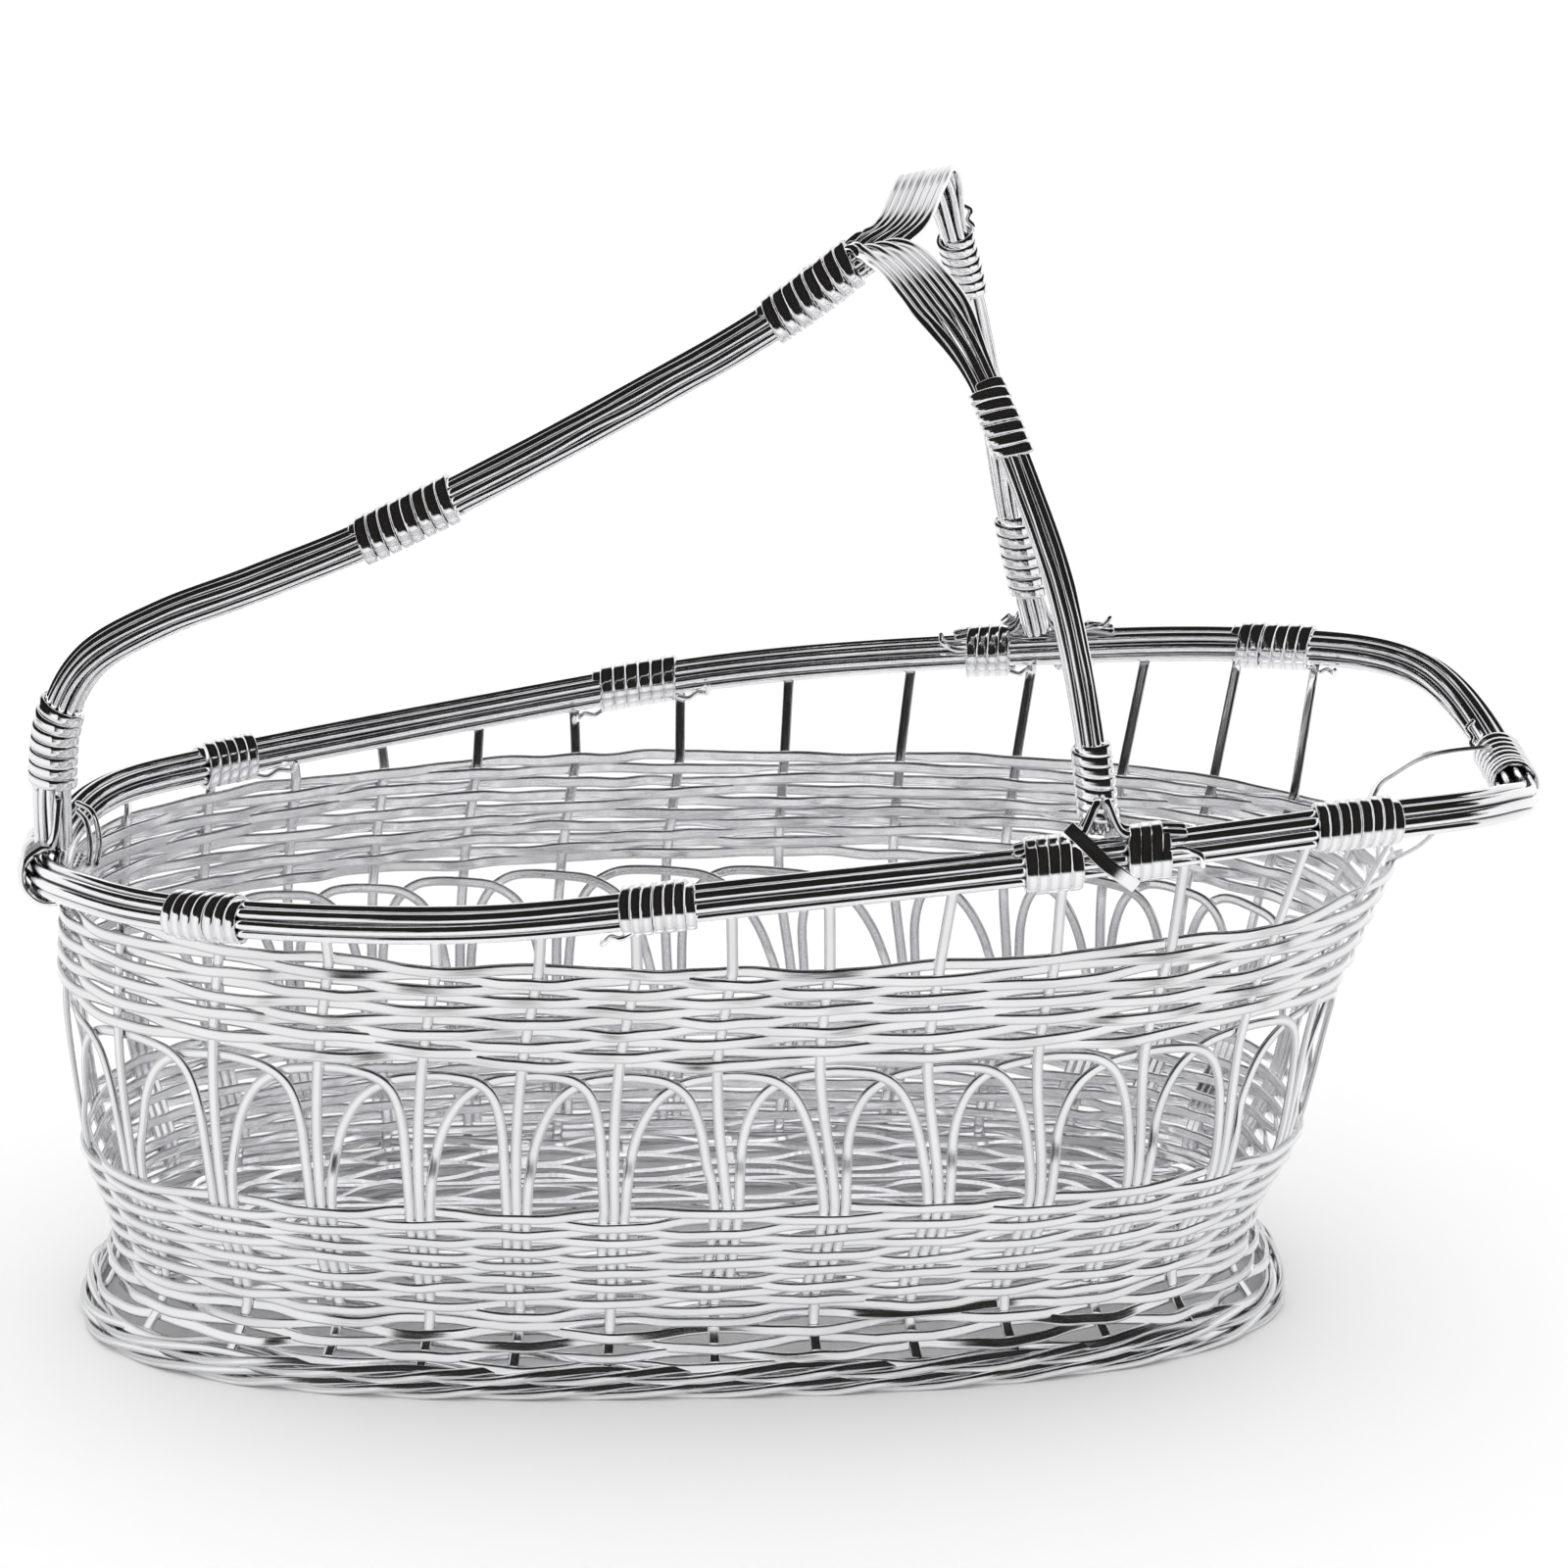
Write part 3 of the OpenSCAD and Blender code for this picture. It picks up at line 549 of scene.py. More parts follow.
def build_foot():
    border("foot_border_lower", BORDER_LOWER_Z, 0)
    border("foot_border_upper", BORDER_UPPER_Z, 1)


# ---------------------------------------------------------------- the rim
def ring_r(n, d=WIRE_D):
    """Radius on which n wires lie side by side."""
    return (d + TOUCH) / 2 / math.sin(math.pi / n)


RIM_N, HANDLE_N, HOOP_N = 8, 12, 8
RIM_R = ring_r(RIM_N, RIM_WIRE_D) + RIM_WIRE_D / 2
rim_lo, rim_hi = corners("rim_core")
RIM_RISE = 22.5                       # climb of the rim's centre line, heel to crest
RIM_CREST = 0.25                      # its crest lies this far above the points it runs through
RIM_CORE = (rim_hi[2] - rim_lo[2] - RIM_RISE) / 2
RIM_X0, RIM_X1 = rim_lo[0] + RIM_CORE, rim_hi[0] - RIM_CORE
WIDEST = rim_hi[1] - RIM_CORE
RIM_Z = rim_hi[2] - RIM_CORE - RIM_CREST

# one side of the rim's centre line, from the handle's foot round to the tip of the spout
RIM_SIDE = np.array([
    [RIM_X0, 0, RIM_Z - 22.3], [RIM_X0 + 7.5, 0.4 * WIDEST, RIM_Z - 18.3],
    [RIM_X0 + 30, 0.66 * WIDEST, RIM_Z - 17.3], [RIM_X0 + 78, 0.915 * WIDEST, RIM_Z - 13.6],
    [RIM_X0 + 128, WIDEST, RIM_Z - 7.3], [RIM_X0 + 180, 0.96 * WIDEST, RIM_Z - 3],
    [RIM_X0 + 230, 0.83 * WIDEST, RIM_Z], [RIM_X1 - 11, 0.615 * WIDEST, RIM_Z - 1.3],
    [RIM_X1, 0, RIM_Z - 10.8]])
RIM_MIDDLE = np.array([FOOT_X + 10, 0, 0])
RIM = Line(np.vstack([RIM_SIDE, (RIM_SIDE[-2:0:-1]) * [1, -1, 1]]),
           lambda p: (p - RIM_MIDDLE) * [0.5, 1, 0], closed=True)


def rim_s(x, sgn):
    """Distance along the rim of the place nearest to x on the +Y or -Y side."""
    own = np.where(sgn * RIM.points[:, 1] > 0, np.abs(RIM.points[:, 0] - x), 1e9)
    return RIM.s[np.argmin(own)]


BUNDLE_WANDER, WIRE_WANDER = 0.06, 0.03    # turn of a whole bundle and of each wire, in radians
CORE_GAP = 0.1


def bundle(line, s, n, seed, spread=None, d=WIRE_D, turned=0.0):
    """n round wires side by side round a line; spread(s, j, u, v) moves wire j."""
    p, _, side, third = line.frame(s)
    parts = []
    for j in range(n):
        a = 2 * np.pi * j / n + turned + wander(s, line.length, BUNDLE_WANDER, seed, 1, 5)
        a = a + wander(s, line.length, WIRE_WANDER, seed + 1 + j, 2, 14)
        u, v = ring_r(n, d) * np.cos(a), ring_r(n, d) * np.sin(a)
        if spread is not None:
            u, v = spread(s, j, u, v)
        offset = u[:, None] * side + v[:, None] * third
        parts.append(sweep(p + offset, offset + 1e-6 * side, round_profile(d), line.closed))
    return parts


def core(line, s, n, d=WIRE_D):
    """The hidden wire that the bundle is laid round."""
    p, _, side, _ = line.frame(s)
    return [sweep(p, side, round_profile(2 * ring_r(n, d) - d - CORE_GAP))]


HEEL_REACH, HEEL_PART = 9.0, 0.9      # the rim's wires part round the handle's foot
RIM_CORE_START = 8.0                  # the inner wire stops this far from the handle's foot


def rim_parting(s, j, u, v):
    """Pushes the inner and the outer wires of the rim apart near the handle's foot."""
    from_heel = np.minimum(s, RIM.length - s)
    push = HEEL_PART * np.exp(-(from_heel / HEEL_REACH) ** 2)
    return u + np.where(np.cos(2 * np.pi * j / RIM_N) >= 0, push, -push), v


def build_rim():
    s = np.linspace(0, RIM.length, 560, endpoint=False)
    piece("rim_strands", "wire", bundle(RIM, s, RIM_N, 11, rim_parting, d=RIM_WIRE_D))
    inside = np.linspace(RIM_CORE_START, RIM.length - RIM_CORE_START, 300)
    piece("rim_core", "wire", core(RIM, inside, RIM_N, RIM_WIRE_D))


TAIL_D = 1.0          # the loose ends are round
WRAP_STEPS = 30       # mesh rings in one turn
WRAP_TUCK = 0.35      # share of a turn tucked in at each end
WRAP_SINK = 1.0       # depth to which it is tucked
WRAP_FILL = 0.86      # share of the pitch that the flat wire fills
WRAP_CORNER = 0.44


def tail(line, s_end, bore, way, turn, reach):
    """Loose end of a wrap: leaves the last turn, lies along the bundle, then hooks off it."""
    p, t, side, third = (v[0] for v in line.frame(np.array([s_end])))
    a = math.radians(turn)
    off = math.cos(a) * side - math.sin(a) * third
    aside = -math.sin(a) * side - math.cos(a) * third
    pts = [p + (bore + 0.3) * off - 1.6 * way * t, p + (bore + 1.1) * off + 0.1 * reach * way * t,
           p + (bore + 0.5) * off + (0.5 * t * way + 0.15 * aside) * reach,
           p + (bore + 1.4) * off + (0.85 * t * way + 0.4 * aside) * reach,
           p + (bore + 0.6) * off + (0.9 * t * way + 0.8 * aside) * reach]
    return sweep(smooth(pts, steps=6), off + 0.1 * t, round_profile(TAIL_D))


def wrap(node, line, bore, turns, slant=0.0, tails=(), move=(0, 0)):
    """Flat wire wound round a bundle, where the CAD node of that name has its coil.

    slant tilts the turns. Each tail is an end of the coil (-1 or 1), a place round the bundle in
    degrees, and a length. move slides the two ends of the coil along the bundle.
    """
    lo, hi = corners(node)
    middle, size = (lo + hi) / 2, hi - lo
    s_mid = line.nearest(middle)
    t = line.frame(np.array([s_mid]))[1][0]
    i = int(np.argmax(np.abs(t)))
    radius = bore + WRAP_T
    length = (size[i] - 2 * radius * math.sqrt(1 - t[i] ** 2)) / abs(t[i]) + move[1] - move[0]
    s_mid = s_mid + (move[0] + move[1]) / 2
    pitch = length / turns
    a = np.linspace(-WRAP_TUCK, turns + WRAP_TUCK, int(turns * WRAP_STEPS)) * 2 * np.pi
    whole = np.clip(a / (2 * np.pi), 0, turns)
    s = s_mid - length / 2 + pitch / 2 + (length - pitch) * whole / turns
    s = s + slant * radius * np.cos(a) + wander(a, a[-1], 0.1, 3 + len(node), 1, 5)
    hidden = np.maximum(np.maximum(-a, a - turns * 2 * np.pi), 0) / (2 * np.pi * WRAP_TUCK)
    r = bore + WRAP_T / 2 - WRAP_SINK * ease(hidden) + wander(a, a[-1], 0.05, len(node), 3, 15)
    p, _, side, third = line.frame(s)
    radial = np.cos(a)[:, None] * side - np.sin(a)[:, None] * third
    profile = ribbon_profile(WRAP_T, pitch * WRAP_FILL, WRAP_CORNER)
    parts = [sweep(p + r[:, None] * radial, radial, profile)]
    parts += [tail(line, s_mid + way * length / 2, bore, way, turn, reach) for way, turn, reach in tails]
    piece(node, "wrap", parts)


def build_rim_wraps():
    bore = RIM_R + 0.05
    wrap("rim_wrap_front_heel", RIM, bore, 6, 0.1)
    wrap("rim_wrap_front_middle", RIM, bore, 6, 0.05, [(1, 60, 4.5)])
    wrap("rim_wrap_front_spout", RIM, bore, 7, 0.05)
    wrap("rim_wrap_rear_heel", RIM, bore, 5, 0.05, [(1, 125, 6)])
    wrap("rim_wrap_rear_middle", RIM, bore, 6, 0.05, [(1, 130, 5), (-1, 110, 5)])
    wrap("rim_wrap_rear_spout", RIM, bore, 6, 0.05, [(1, 110, 4.5)])
    wrap("rim_wrap_tip", RIM, bore, 8, 0.1, [(-1, 190, 4)], (0, 4.4))


# ---------------------------------------------------------------- the handle and its hoop
APEX_Z = corners("hoop_core_rear")[1][2] - ring_r(HOOP_N) + WIRE_D / 2
HANDLE = Line([[RIM_X0 + 1, 0, RIM_Z - 18.3], [RIM_X0 + 1.2, 0, RIM_Z - 6.3],
               [RIM_X0 + 3, 0, RIM_Z + 6.7], [RIM_X0 + 9.5, 0, RIM_Z + 17.7],
               [RIM_X0 + 23, 0, RIM_Z + 25.3], [RIM_X0 + 40, 0, APEX_Z - 68],
               [RIM_X0 + 64, 0, APEX_Z - 58.2], [RIM_X0 + 96, 0, APEX_Z - 41.8],
               [RIM_X0 + 131, 0, APEX_Z - 22], [RIM_X0 + 150, 0, APEX_Z - 8.3]], towards(0, 1, 0))
LEG_Y = 0.9 * WIDEST
LEG_X = FOOT_X + 71.2


def leg_line(sgn):
    """Centre line of one leg of the hoop: out of the handle's end, over the top, down to the rim."""
    if sgn < 0:
        over = [[FOOT_X + 34.2, 2.0, APEX_Z - 6.5], [FOOT_X + 38.2, 10, APEX_Z - 6.0],
                [FOOT_X + 42, 24, APEX_Z - 7.8], [FOOT_X + 46.6, 39.5, APEX_Z - 12.4],
                [FOOT_X + 51.2, LEG_Y - 9.6, APEX_Z - 20.6], [FOOT_X + 57.6, LEG_Y - 4, APEX_Z - 36.2],
                [FOOT_X + 63.7, LEG_Y - 0.7, RIM_Z + 45.6], [FOOT_X + 68.6, LEG_Y, RIM_Z + 21.7]]
    else:
        over = [[FOOT_X + 35.2, 2.0, APEX_Z - 6.4], [FOOT_X + 40.4, 8, APEX_Z - 3.8],
                [FOOT_X + 44, 21, APEX_Z - 1.3], [FOOT_X + 46.8, 31, APEX_Z],
                [FOOT_X + 49.9, 38.8, APEX_Z - 4.4], [FOOT_X + 52.9, LEG_Y - 12.9, APEX_Z - 14.6],
                [FOOT_X + 57.2, LEG_Y - 7.1, APEX_Z - 30.5], [FOOT_X + 61.3, LEG_Y - 3.5, RIM_Z + 50.5],
                [FOOT_X + 65, LEG_Y - 0.9, RIM_Z + 29.7]]
    rows = ([[FOOT_X + 24, 0.3, APEX_Z - 13.5], [FOOT_X + 30, 0.6, APEX_Z - 10]] + over
            + [[LEG_X, LEG_Y, RIM_Z + 2.2]])
    return Line(np.array(rows) * [1, sgn, 1], towards(1, 0, 0.2))


LEGS = {-1: leg_line(-1), 1: leg_line(1)}
SIDE_NAME = {-1: "front", 1: "rear"}
HOOP_TURN = 0.1                       # turn of the hoop's bundle; no two wires share a place across it
FAN_PITCH = 1.3                       # distance between wires where they lie flat
FAN_START, FAN_RUN = 30.0, 24.0       # they start to gather this far before the wrap, over this length
FAN_NARROW = 0.68                     # share of the pitch at the handle's end
FAN_OPEN_FROM, FAN_OPEN_RUN = 9.0, 12.0    # where along the leg it opens, and over what length
FAN_LAYER = 2.2                       # how far every other wire rises where the fan is narrow


def fan(bound):
    """The hoop's wires lie side by side in one flat layer until they near the wrap at bound."""
    angles = 2 * np.pi * np.arange(HOOP_N) / HOOP_N + HOOP_TURN
    order = np.argsort(np.argsort(np.cos(angles)))

    def spread(s, j, u, v):
        flat = 1 - ease((s - bound + FAN_START) / FAN_RUN)
        open_out = FAN_NARROW + (1 - FAN_NARROW) * ease((s - FAN_OPEN_FROM) / FAN_OPEN_RUN)
        place = (order[j] - (HOOP_N - 1) / 2) * FAN_PITCH * open_out
        layer = (1 - open_out) * (1 if order[j] % 2 else -1) * FAN_LAYER
        return u + flat * (place - u), v * (1 - flat) + flat * layer
    return spread


def build_handle():
    s = np.linspace(0, HANDLE.length, 260)
    piece("handle_strands", "wire", bundle(HANDLE, s, HANDLE_N, 21))
    piece("handle_core", "wire", core(HANDLE, s[4:-4], HANDLE_N))
    bore = ring_r(HANDLE_N) + WIRE_D / 2 + BORE_GAP
    wrap("handle_wrap_base", HANDLE, bore, 7, 0.05)
    wrap("handle_wrap_middle", HANDLE, bore, 8, 0.05)
    wrap("handle_wrap_top", HANDLE, bore, 8, 0.05)


def build_hoop():
    bore = ring_r(HOOP_N) + WIRE_D / 2 + BORE_GAP
    for sgn, side in SIDE_NAME.items():
        leg = LEGS[sgn]
        s = np.linspace(0, leg.length, 220)
        bound = leg.nearest(np.mean(corners("hoop_wrap_%s_upper" % side), axis=0))
        strands = bundle(leg, s, HOOP_N, 31 + sgn, fan(bound), turned=HOOP_TURN)
        piece("hoop_strands_" + side, "wire", strands)
        gathered = s[s > bound - 4][:-6]
        piece("hoop_core_" + side, "wire", core(leg, gathered, HOOP_N))
    wrap("hoop_wrap_front_upper", LEGS[-1], bore, 6, 0.05)
    wrap("hoop_wrap_front_lower", LEGS[-1], bore, 6, 0.1)
    wrap("hoop_wrap_rear_upper", LEGS[1], bore, 6, 0.05, [(-1, 0, 3.5)])
    wrap("hoop_wrap_rear_lower", LEGS[1], bore, 7, 0.1)


ACROSS = (0, 1, 0.01)                 # a sideways direction for wire that runs along the basket
SPLAY_TURN = 25.0                     # degrees between splayed wires, round the rim
STRAP_W = 2.6


def splayed_wire(seat, way, i):
    """One wire of a leg, laid along the top of the rim from the leg's seat."""
    r = RIM_R + WIRE_D / 2
    turn = math.radians(SPLAY_TURN * i)
    pts = []
    for along, up in ((0.9, 6 + abs(i)), (3.5, 1.2), (7, 0), (11, 0), (15, -0.6)):
        p = RIM.at(np.array(seat + way * along))
        pts.append(p + np.array([0, r * math.sin(turn), r * math.cos(turn) + up]))
    return sweep(smooth(pts, steps=8), ACROSS, round_profile(WIRE_D))


def build_hoop_feet():
    """The hoop's wires spread both ways on the rim, bound down and crossed by a strap."""
    for sgn, side in SIDE_NAME.items():
        seat = rim_s(LEG_X, sgn)
        forward = 1 if RIM.frame(np.array([seat]))[1][0][0] > 0 else -1
        piece("hoop_splay_" + side, "wire",
              [splayed_wire(seat, forward * way, i) for way in (-1, 1) for i in (-1, 0, 1)])
    bore = RIM_R + 0.7
    wrap("foot_binding_front_heel", RIM, bore, 4, 0.05)
    wrap("foot_binding_front_spout", RIM, bore, 3, 0.15, [(-1, -20, 4.5)])
    wrap("foot_binding_rear_heel", RIM, bore, 4, 0.05, [(-1, 200, 4), (1, 130, 4)])
    wrap("foot_binding_rear_spout", RIM, bore, 2, 0.15, [(1, 240, 4)])
    for sgn, side in SIDE_NAME.items():
        seat = RIM.at(np.array(rim_s(LEG_X, sgn)))
        r = RIM_R + 1.1
        pts = [seat + [-5.5, 0.2 * sgn * r, 1.25 * r], seat + [-3, 0.75 * sgn * r, 0.85 * r],
               seat + [0.5, 1.1 * sgn * r, 0.15 * r], seat + [4, 0.95 * sgn * r, -0.5 * r],
               seat + [6, 0.5 * sgn * r, -0.95 * r]]
        line = smooth(pts, steps=10)
        piece("foot_strap_" + side, "wrap", [sweep(line, line - seat, ribbon_profile(WRAP_T, STRAP_W))])


# ---------------------------------------------------------------- stakes, arches and stays
def rim_under(x, sgn):
    """Where a stake that leans to x meets the rim from below."""
    return RIM.at(np.array(rim_s(x, sgn))) - [0, 0, RIM_R - 1.2]


STAKE_CORNER = 0.34


def stake(k, top, end_side=None, corner=STAKE_CORNER):
    """A stake up the wall and on through the top points; its face may turn to end_side on the way."""
    z = np.arange(1.0, UPPER_TOP, 2.0)
    wall = wall_point(np.full_like(z, stake_s(k)), z)
    sides = wall_out(np.full_like(z, stake_s(k)), z)
    tail = smooth(np.vstack([wall[-2:], top]), steps=8)[8:]
    path = np.vstack([wall[:-1], tail])
    end_side = sides[-1] if end_side is None else np.array(end_side)
    share = ease(np.linspace(0, 1.6, len(tail)))[:, None]
    sides = np.vstack([sides[:-1], (1 - share) * sides[-1] + share * end_side])
    return sweep(path, sides, ribbon_profile(RIBBON_T, RIBBON_W, corner))


STAKE_LEAN = {-1: 0.02, 1: 0.055}     # lean above the wall, front and rear, per millimetre forward
LEAN_FROM = 8.0                       # of this place ahead of the foot's middle
TIP_FREE = 15.0                       # no side stake meets the rim this near the tip
STAY_SIDE = (1, -0.35, -1)            # the spout's stays turn their thin edge to the front
STAY_CORNER = 0.15
STAY_BACK, STAY_SAG = 22.0, 5.0       # the front stay meets the rim this far from the tip, and sags


def build_stakes():
    parts = []
    for k in range(1, BAYS - 1):
        foot = wall_point(stake_s(k), UPPER_TOP)
        sgn = 1 if foot[1] > 0 else -1
        forward = max(foot[0] - FOOT_X - LEAN_FROM, 0)
        x = np.clip(foot[0] + STAKE_LEAN[sgn] * forward, RIM_X0 + 1, RIM_X1 - TIP_FREE)
        parts.append(stake(k, rim_under(x, sgn)[None]))
    piece("side_stakes", "ribbon", parts)
    rear, front = wall_point(stake_s(0), UPPER_TOP), wall_point(stake_s(BAYS - 1), UPPER_TOP)
    tip = np.array([RIM_X1, 0, RIM_Z])
    to_tip = np.array([rear + [2.4, 2, 5.4], rear + [5.8, 0.5, 9], tip + [-14.6, 8.6, -7.8],
                       tip + [-3.6, 8.5, -6.4]])
    piece("spout_stay_rear", "ribbon", [stake(0, to_tip, STAY_SIDE, STAY_CORNER)])
    under = rim_under(RIM_X1 - STAY_BACK, -1)
    to_rim = np.array([front + share * (under - front) - [0, 0, STAY_SAG * share * (1 - share)]
                       for share in (0.3, 0.65, 1.0)])
    piece("spout_stay_front", "ribbon", [stake(BAYS - 1, to_rim, STAY_SIDE, STAY_CORNER)])


ARCH_LEFT_Z, ARCH_RIGHT_Z = 22.0, 17.0   # where the two feet of an arch end in the lower band
ARCH_CROWN_Z = UPPER_BOTTOM - 1.7
ARCH_SPRING_Z = LOWER_TOP
ARCH_BESIDE = 0.05                       # gap between an arch's foot and its stake
ARCH_SINK = 1.05                         # its rising half passes this far behind the wall's middle
ARCH_W = RIBBON_W - 0.1

# half an outline to each side: share of the half span, share of the rise from spring to crown
ARCH_RISING = [(-1.0, 0.0), (-0.95, 0.3), (-0.85, 0.58), (-0.66, 0.81), (-0.38, 0.94), (-0.05, 0.985)]
ARCH_FALLING = [(0.3, 1.0), (0.6, 0.97), (0.82, 0.85), (0.94, 0.62), (0.985, 0.3), (1.0, 0.0)]


def arch(k):
    """Rises beside stake k, passes behind the next and comes down in front, beside stake k + 2."""
    dice = np.random.default_rng(40 + k)
    s0, s1 = stake_s(k) + RIBBON_W + ARCH_BESIDE, stake_s(k + 2) - RIBBON_W - ARCH_BESIDE
    crown = ARCH_CROWN_Z + dice.uniform(-1.0, 0.4)
    lean = dice.uniform(-0.05, 0.03)
    outline = [(-1.0, ARCH_LEFT_Z), (-1.0, (ARCH_LEFT_Z + ARCH_SPRING_Z) / 2)]
    outline += [(u + lean * r * (1 - abs(u)) * 2, ARCH_SPRING_Z + (crown - ARCH_SPRING_Z) * r)
                for u, r in ARCH_RISING + ARCH_FALLING]
    outline += [(1.0, (ARCH_RIGHT_Z + ARCH_SPRING_Z) / 2), (1.0, ARCH_RIGHT_Z)]
    line = smooth(np.array(outline) * [(s1 - s0) / 2, 1], steps=8)
    u, z = line[:, 0] * 2 / (s1 - s0), line[:, 1]
    s = (s0 + s1) / 2 + line[:, 0]
    sink = -ARCH_SINK * ease((z - ARCH_SPRING_Z - 4) / 8) * (1 - ease((u - 0.05) / 0.5))
    return sweep(wall_point(s, z, sink), wall_out(s, z), ribbon_profile(RIBBON_T, ARCH_W, STAKE_CORNER))


def build_arcade():
    piece("arcade_arches", "ribbon", [arch(k) for k in range(BAYS)])


CURL_N, CURL_FROM = 4, 2.6            # wires on each side, and the first one's place along the rim
CURL_R = RIM_R + 0.95 + HEEL_PART * 0.6
CURL_TURNS = np.radians([-95, -75, -30, 20, 70, 115, 150])    # way round the outside of the rim
CURL_ADVANCE = 2.5                    # how far along the rim a wire gets on that way
BOW_D = 1.1


def curl(i, sgn):
    """End of one of the handle's wires: down beside its foot, round the rim's outside, and under it."""
    away = CURL_FROM + WIRE_D * i
    s = RIM.length * (sgn < 0) + sgn * (away + np.linspace(0, CURL_ADVANCE, len(CURL_TURNS)))
    p, _, side, third = RIM.frame(s)
    hug = p + CURL_R * (np.cos(CURL_TURNS)[:, None] * side - np.sin(CURL_TURNS)[:, None] * third)
    down = [[RIM_X0 + 1.6 + 0.3 * i, sgn * (1.6 + 0.5 * i), RIM_Z - 6.0 - 0.9 * i],
            [RIM_X0 + 1.9, sgn * (2.6 + 0.9 * i), RIM_Z - 12.5 - 0.5 * i]]
    path = smooth(np.vstack([down, hug]), steps=8)
    return sweep(path, path - [RIM_X0 + 8, 0, RIM_Z - 22], round_profile(WIRE_D))


def bow(i):
    """Thinner wire that bows across inside the rim, beside the handle's foot."""
    pts = [[RIM_X0 + 5.0, 9.5, RIM_Z - 13.6 - 1.6 * i],
           [RIM_X0 + 8.0 - 1.2 * i, 5.5, RIM_Z - 14.2 - 1.8 * i],
           [RIM_X0 + 9.4 - 1.7 * i, 0.5, RIM_Z - 17.8 - 0.8 * i],
           [RIM_X0 + 9.0 - 1.5 * i, -4.0, RIM_Z - 21.2]]
    return sweep(smooth(pts, steps=10), ACROSS, round_profile(BOW_D))


def build_curls():
    piece("rim_curl_front", "wire", [curl(i, -1) for i in range(CURL_N)])
    piece("rim_curl_rear", "wire", [curl(i, 1) for i in range(CURL_N)] + [bow(0), bow(1)])


# ---------------------------------------------------------------- the floor
UP = (0, 0, 1)
FLOOR_Z = corners("floor_cross_sticks")[0][2]
FLOOR_INSET, FLOOR_PITCH, FLOOR_RINGS = 2.5, 4.6, 9
FLOOR_RIBBON_W = RIBBON_W + 0.4
FLOOR_BEND = 0.8                      # power that squares the floor's rings
FLOOR_HOLD = 1.8                      # how flat a ring lies over the sticks
STICK_WANDER = 0.1
CROSS_X = np.arange(-90, 91, 20.0)
LONG_Y = np.arange(-20, 21, 10.0)
CROSS_Z, LONG_Z = FLOOR_Z + RIBBON_T / 2, FLOOR_Z + 1.5 * RIBBON_T    # middles of the two layers


def floor_size(inset):
    return wall_value(FLOOR_Z, 1) - inset, wall_value(FLOOR_Z, 2) - inset


def floor_ring(i):
    """Flat ribbon that goes over and under the sticks in turn."""
    a, b = floor_size(FLOOR_INSET + i * FLOOR_PITCH + FLOOR_RIBBON_W / 2)
    t = np.linspace(0, 2 * np.pi, 420, endpoint=False)
    x, y = a * signed_power(np.cos(t), FLOOR_BEND), b * signed_power(np.sin(t), FLOOR_BEND)
    crossings = []
    for values, sticks, mid in ((x, CROSS_X, CROSS_Z), (y, LONG_Y, LONG_Z)):
        for stick in sticks:
            change = np.nonzero(np.diff(np.sign(values - stick)))[0]
            crossings += [(t[c], mid) for c in change]
    crossings.sort()
    at = np.array([c[0] for c in crossings])
    phase = np.arange(len(at)) + i
    mids = np.array([c[1] for c in crossings])
    wide_t = np.concatenate([[at[-1] - 2 * np.pi], at, [at[0] + 2 * np.pi]])
    wide_p = np.concatenate([[phase[0] - 1], phase, [phase[-1] + 1]])
    wide_m = np.concatenate([mids[-1:], mids, mids[:1]])
    beat = np.cos(np.pi * np.interp(t, wide_t, wide_p))
    z = np.interp(t, wide_t, wide_m)
    z = z + (RIBBON_T - SKIN) * np.tanh(FLOOR_HOLD * beat) / np.tanh(FLOOR_HOLD)
    path = np.stack([FOOT_X + x, y, z + wander(t, 2 * np.pi, 0.1, 700 + i, 3, 20)], -1)
    return sweep(path, UP, ribbon_profile(RIBBON_T, FLOOR_RIBBON_W), True)


def half_chord(place, across, along):
    """Half a stick's length at a place; across and along it are the floor's half sizes."""
    return along * (1 - (abs(place) / across) ** SQUARE) ** (1 / SQUARE)


def cross_stick(x):
    a, b = floor_size(FLOOR_INSET)
    half = half_chord(x, a, b)
    y = np.linspace(-half, half, 40)
    z = CROSS_Z + wander(y, 2 * half, STICK_WANDER, int(x) + 800, 1, 4)
    path = np.stack([np.full_like(y, FOOT_X + x), y, z], -1)
    return sweep(path, UP, ribbon_profile(RIBBON_T, RIBBON_W))


def long_stick(y):
    a, b = floor_size(FLOOR_INSET)
    half = half_chord(y, b, a) - 1
    x = np.linspace(FOOT_X - half, FOOT_X + half, 80)
    z = LONG_Z + wander(x, 2 * half, STICK_WANDER, int(y) + 900, 1, 6)
    path = np.stack([x, np.full_like(x, y), z], -1)
    return sweep(path, UP, ribbon_profile(RIBBON_T, RIBBON_W))


def build_floor():
    piece("floor_cross_sticks", "ribbon", [cross_stick(x) for x in CROSS_X])
    piece("floor_long_sticks", "ribbon", [long_stick(y) for y in LONG_Y])
    piece("floor_weave_over", "ribbon", [floor_ring(i) for i in range(1, FLOOR_RINGS, 2)])
    piece("floor_weave_under", "ribbon", [floor_ring(i) for i in range(0, FLOOR_RINGS, 2)])


# ---------------------------------------------------------------- stage, light and camera
PAPER_WHITE = (0.96, 0.96, 0.96, 1)
CARD_WHITE = (1.05, 1.05, 1.05, 1)
ROOM_WHITE = (1.12, 1.12, 1.12, 1)
ROOM_DARK = (0.012, 0.011, 0.010, 1)
FLOOR_RADIUS = 0.45                   # in metres
FLOOR_SOLID, FLOOR_GONE = 0.6, 0.98   # shares of the radius between which the paper thins out


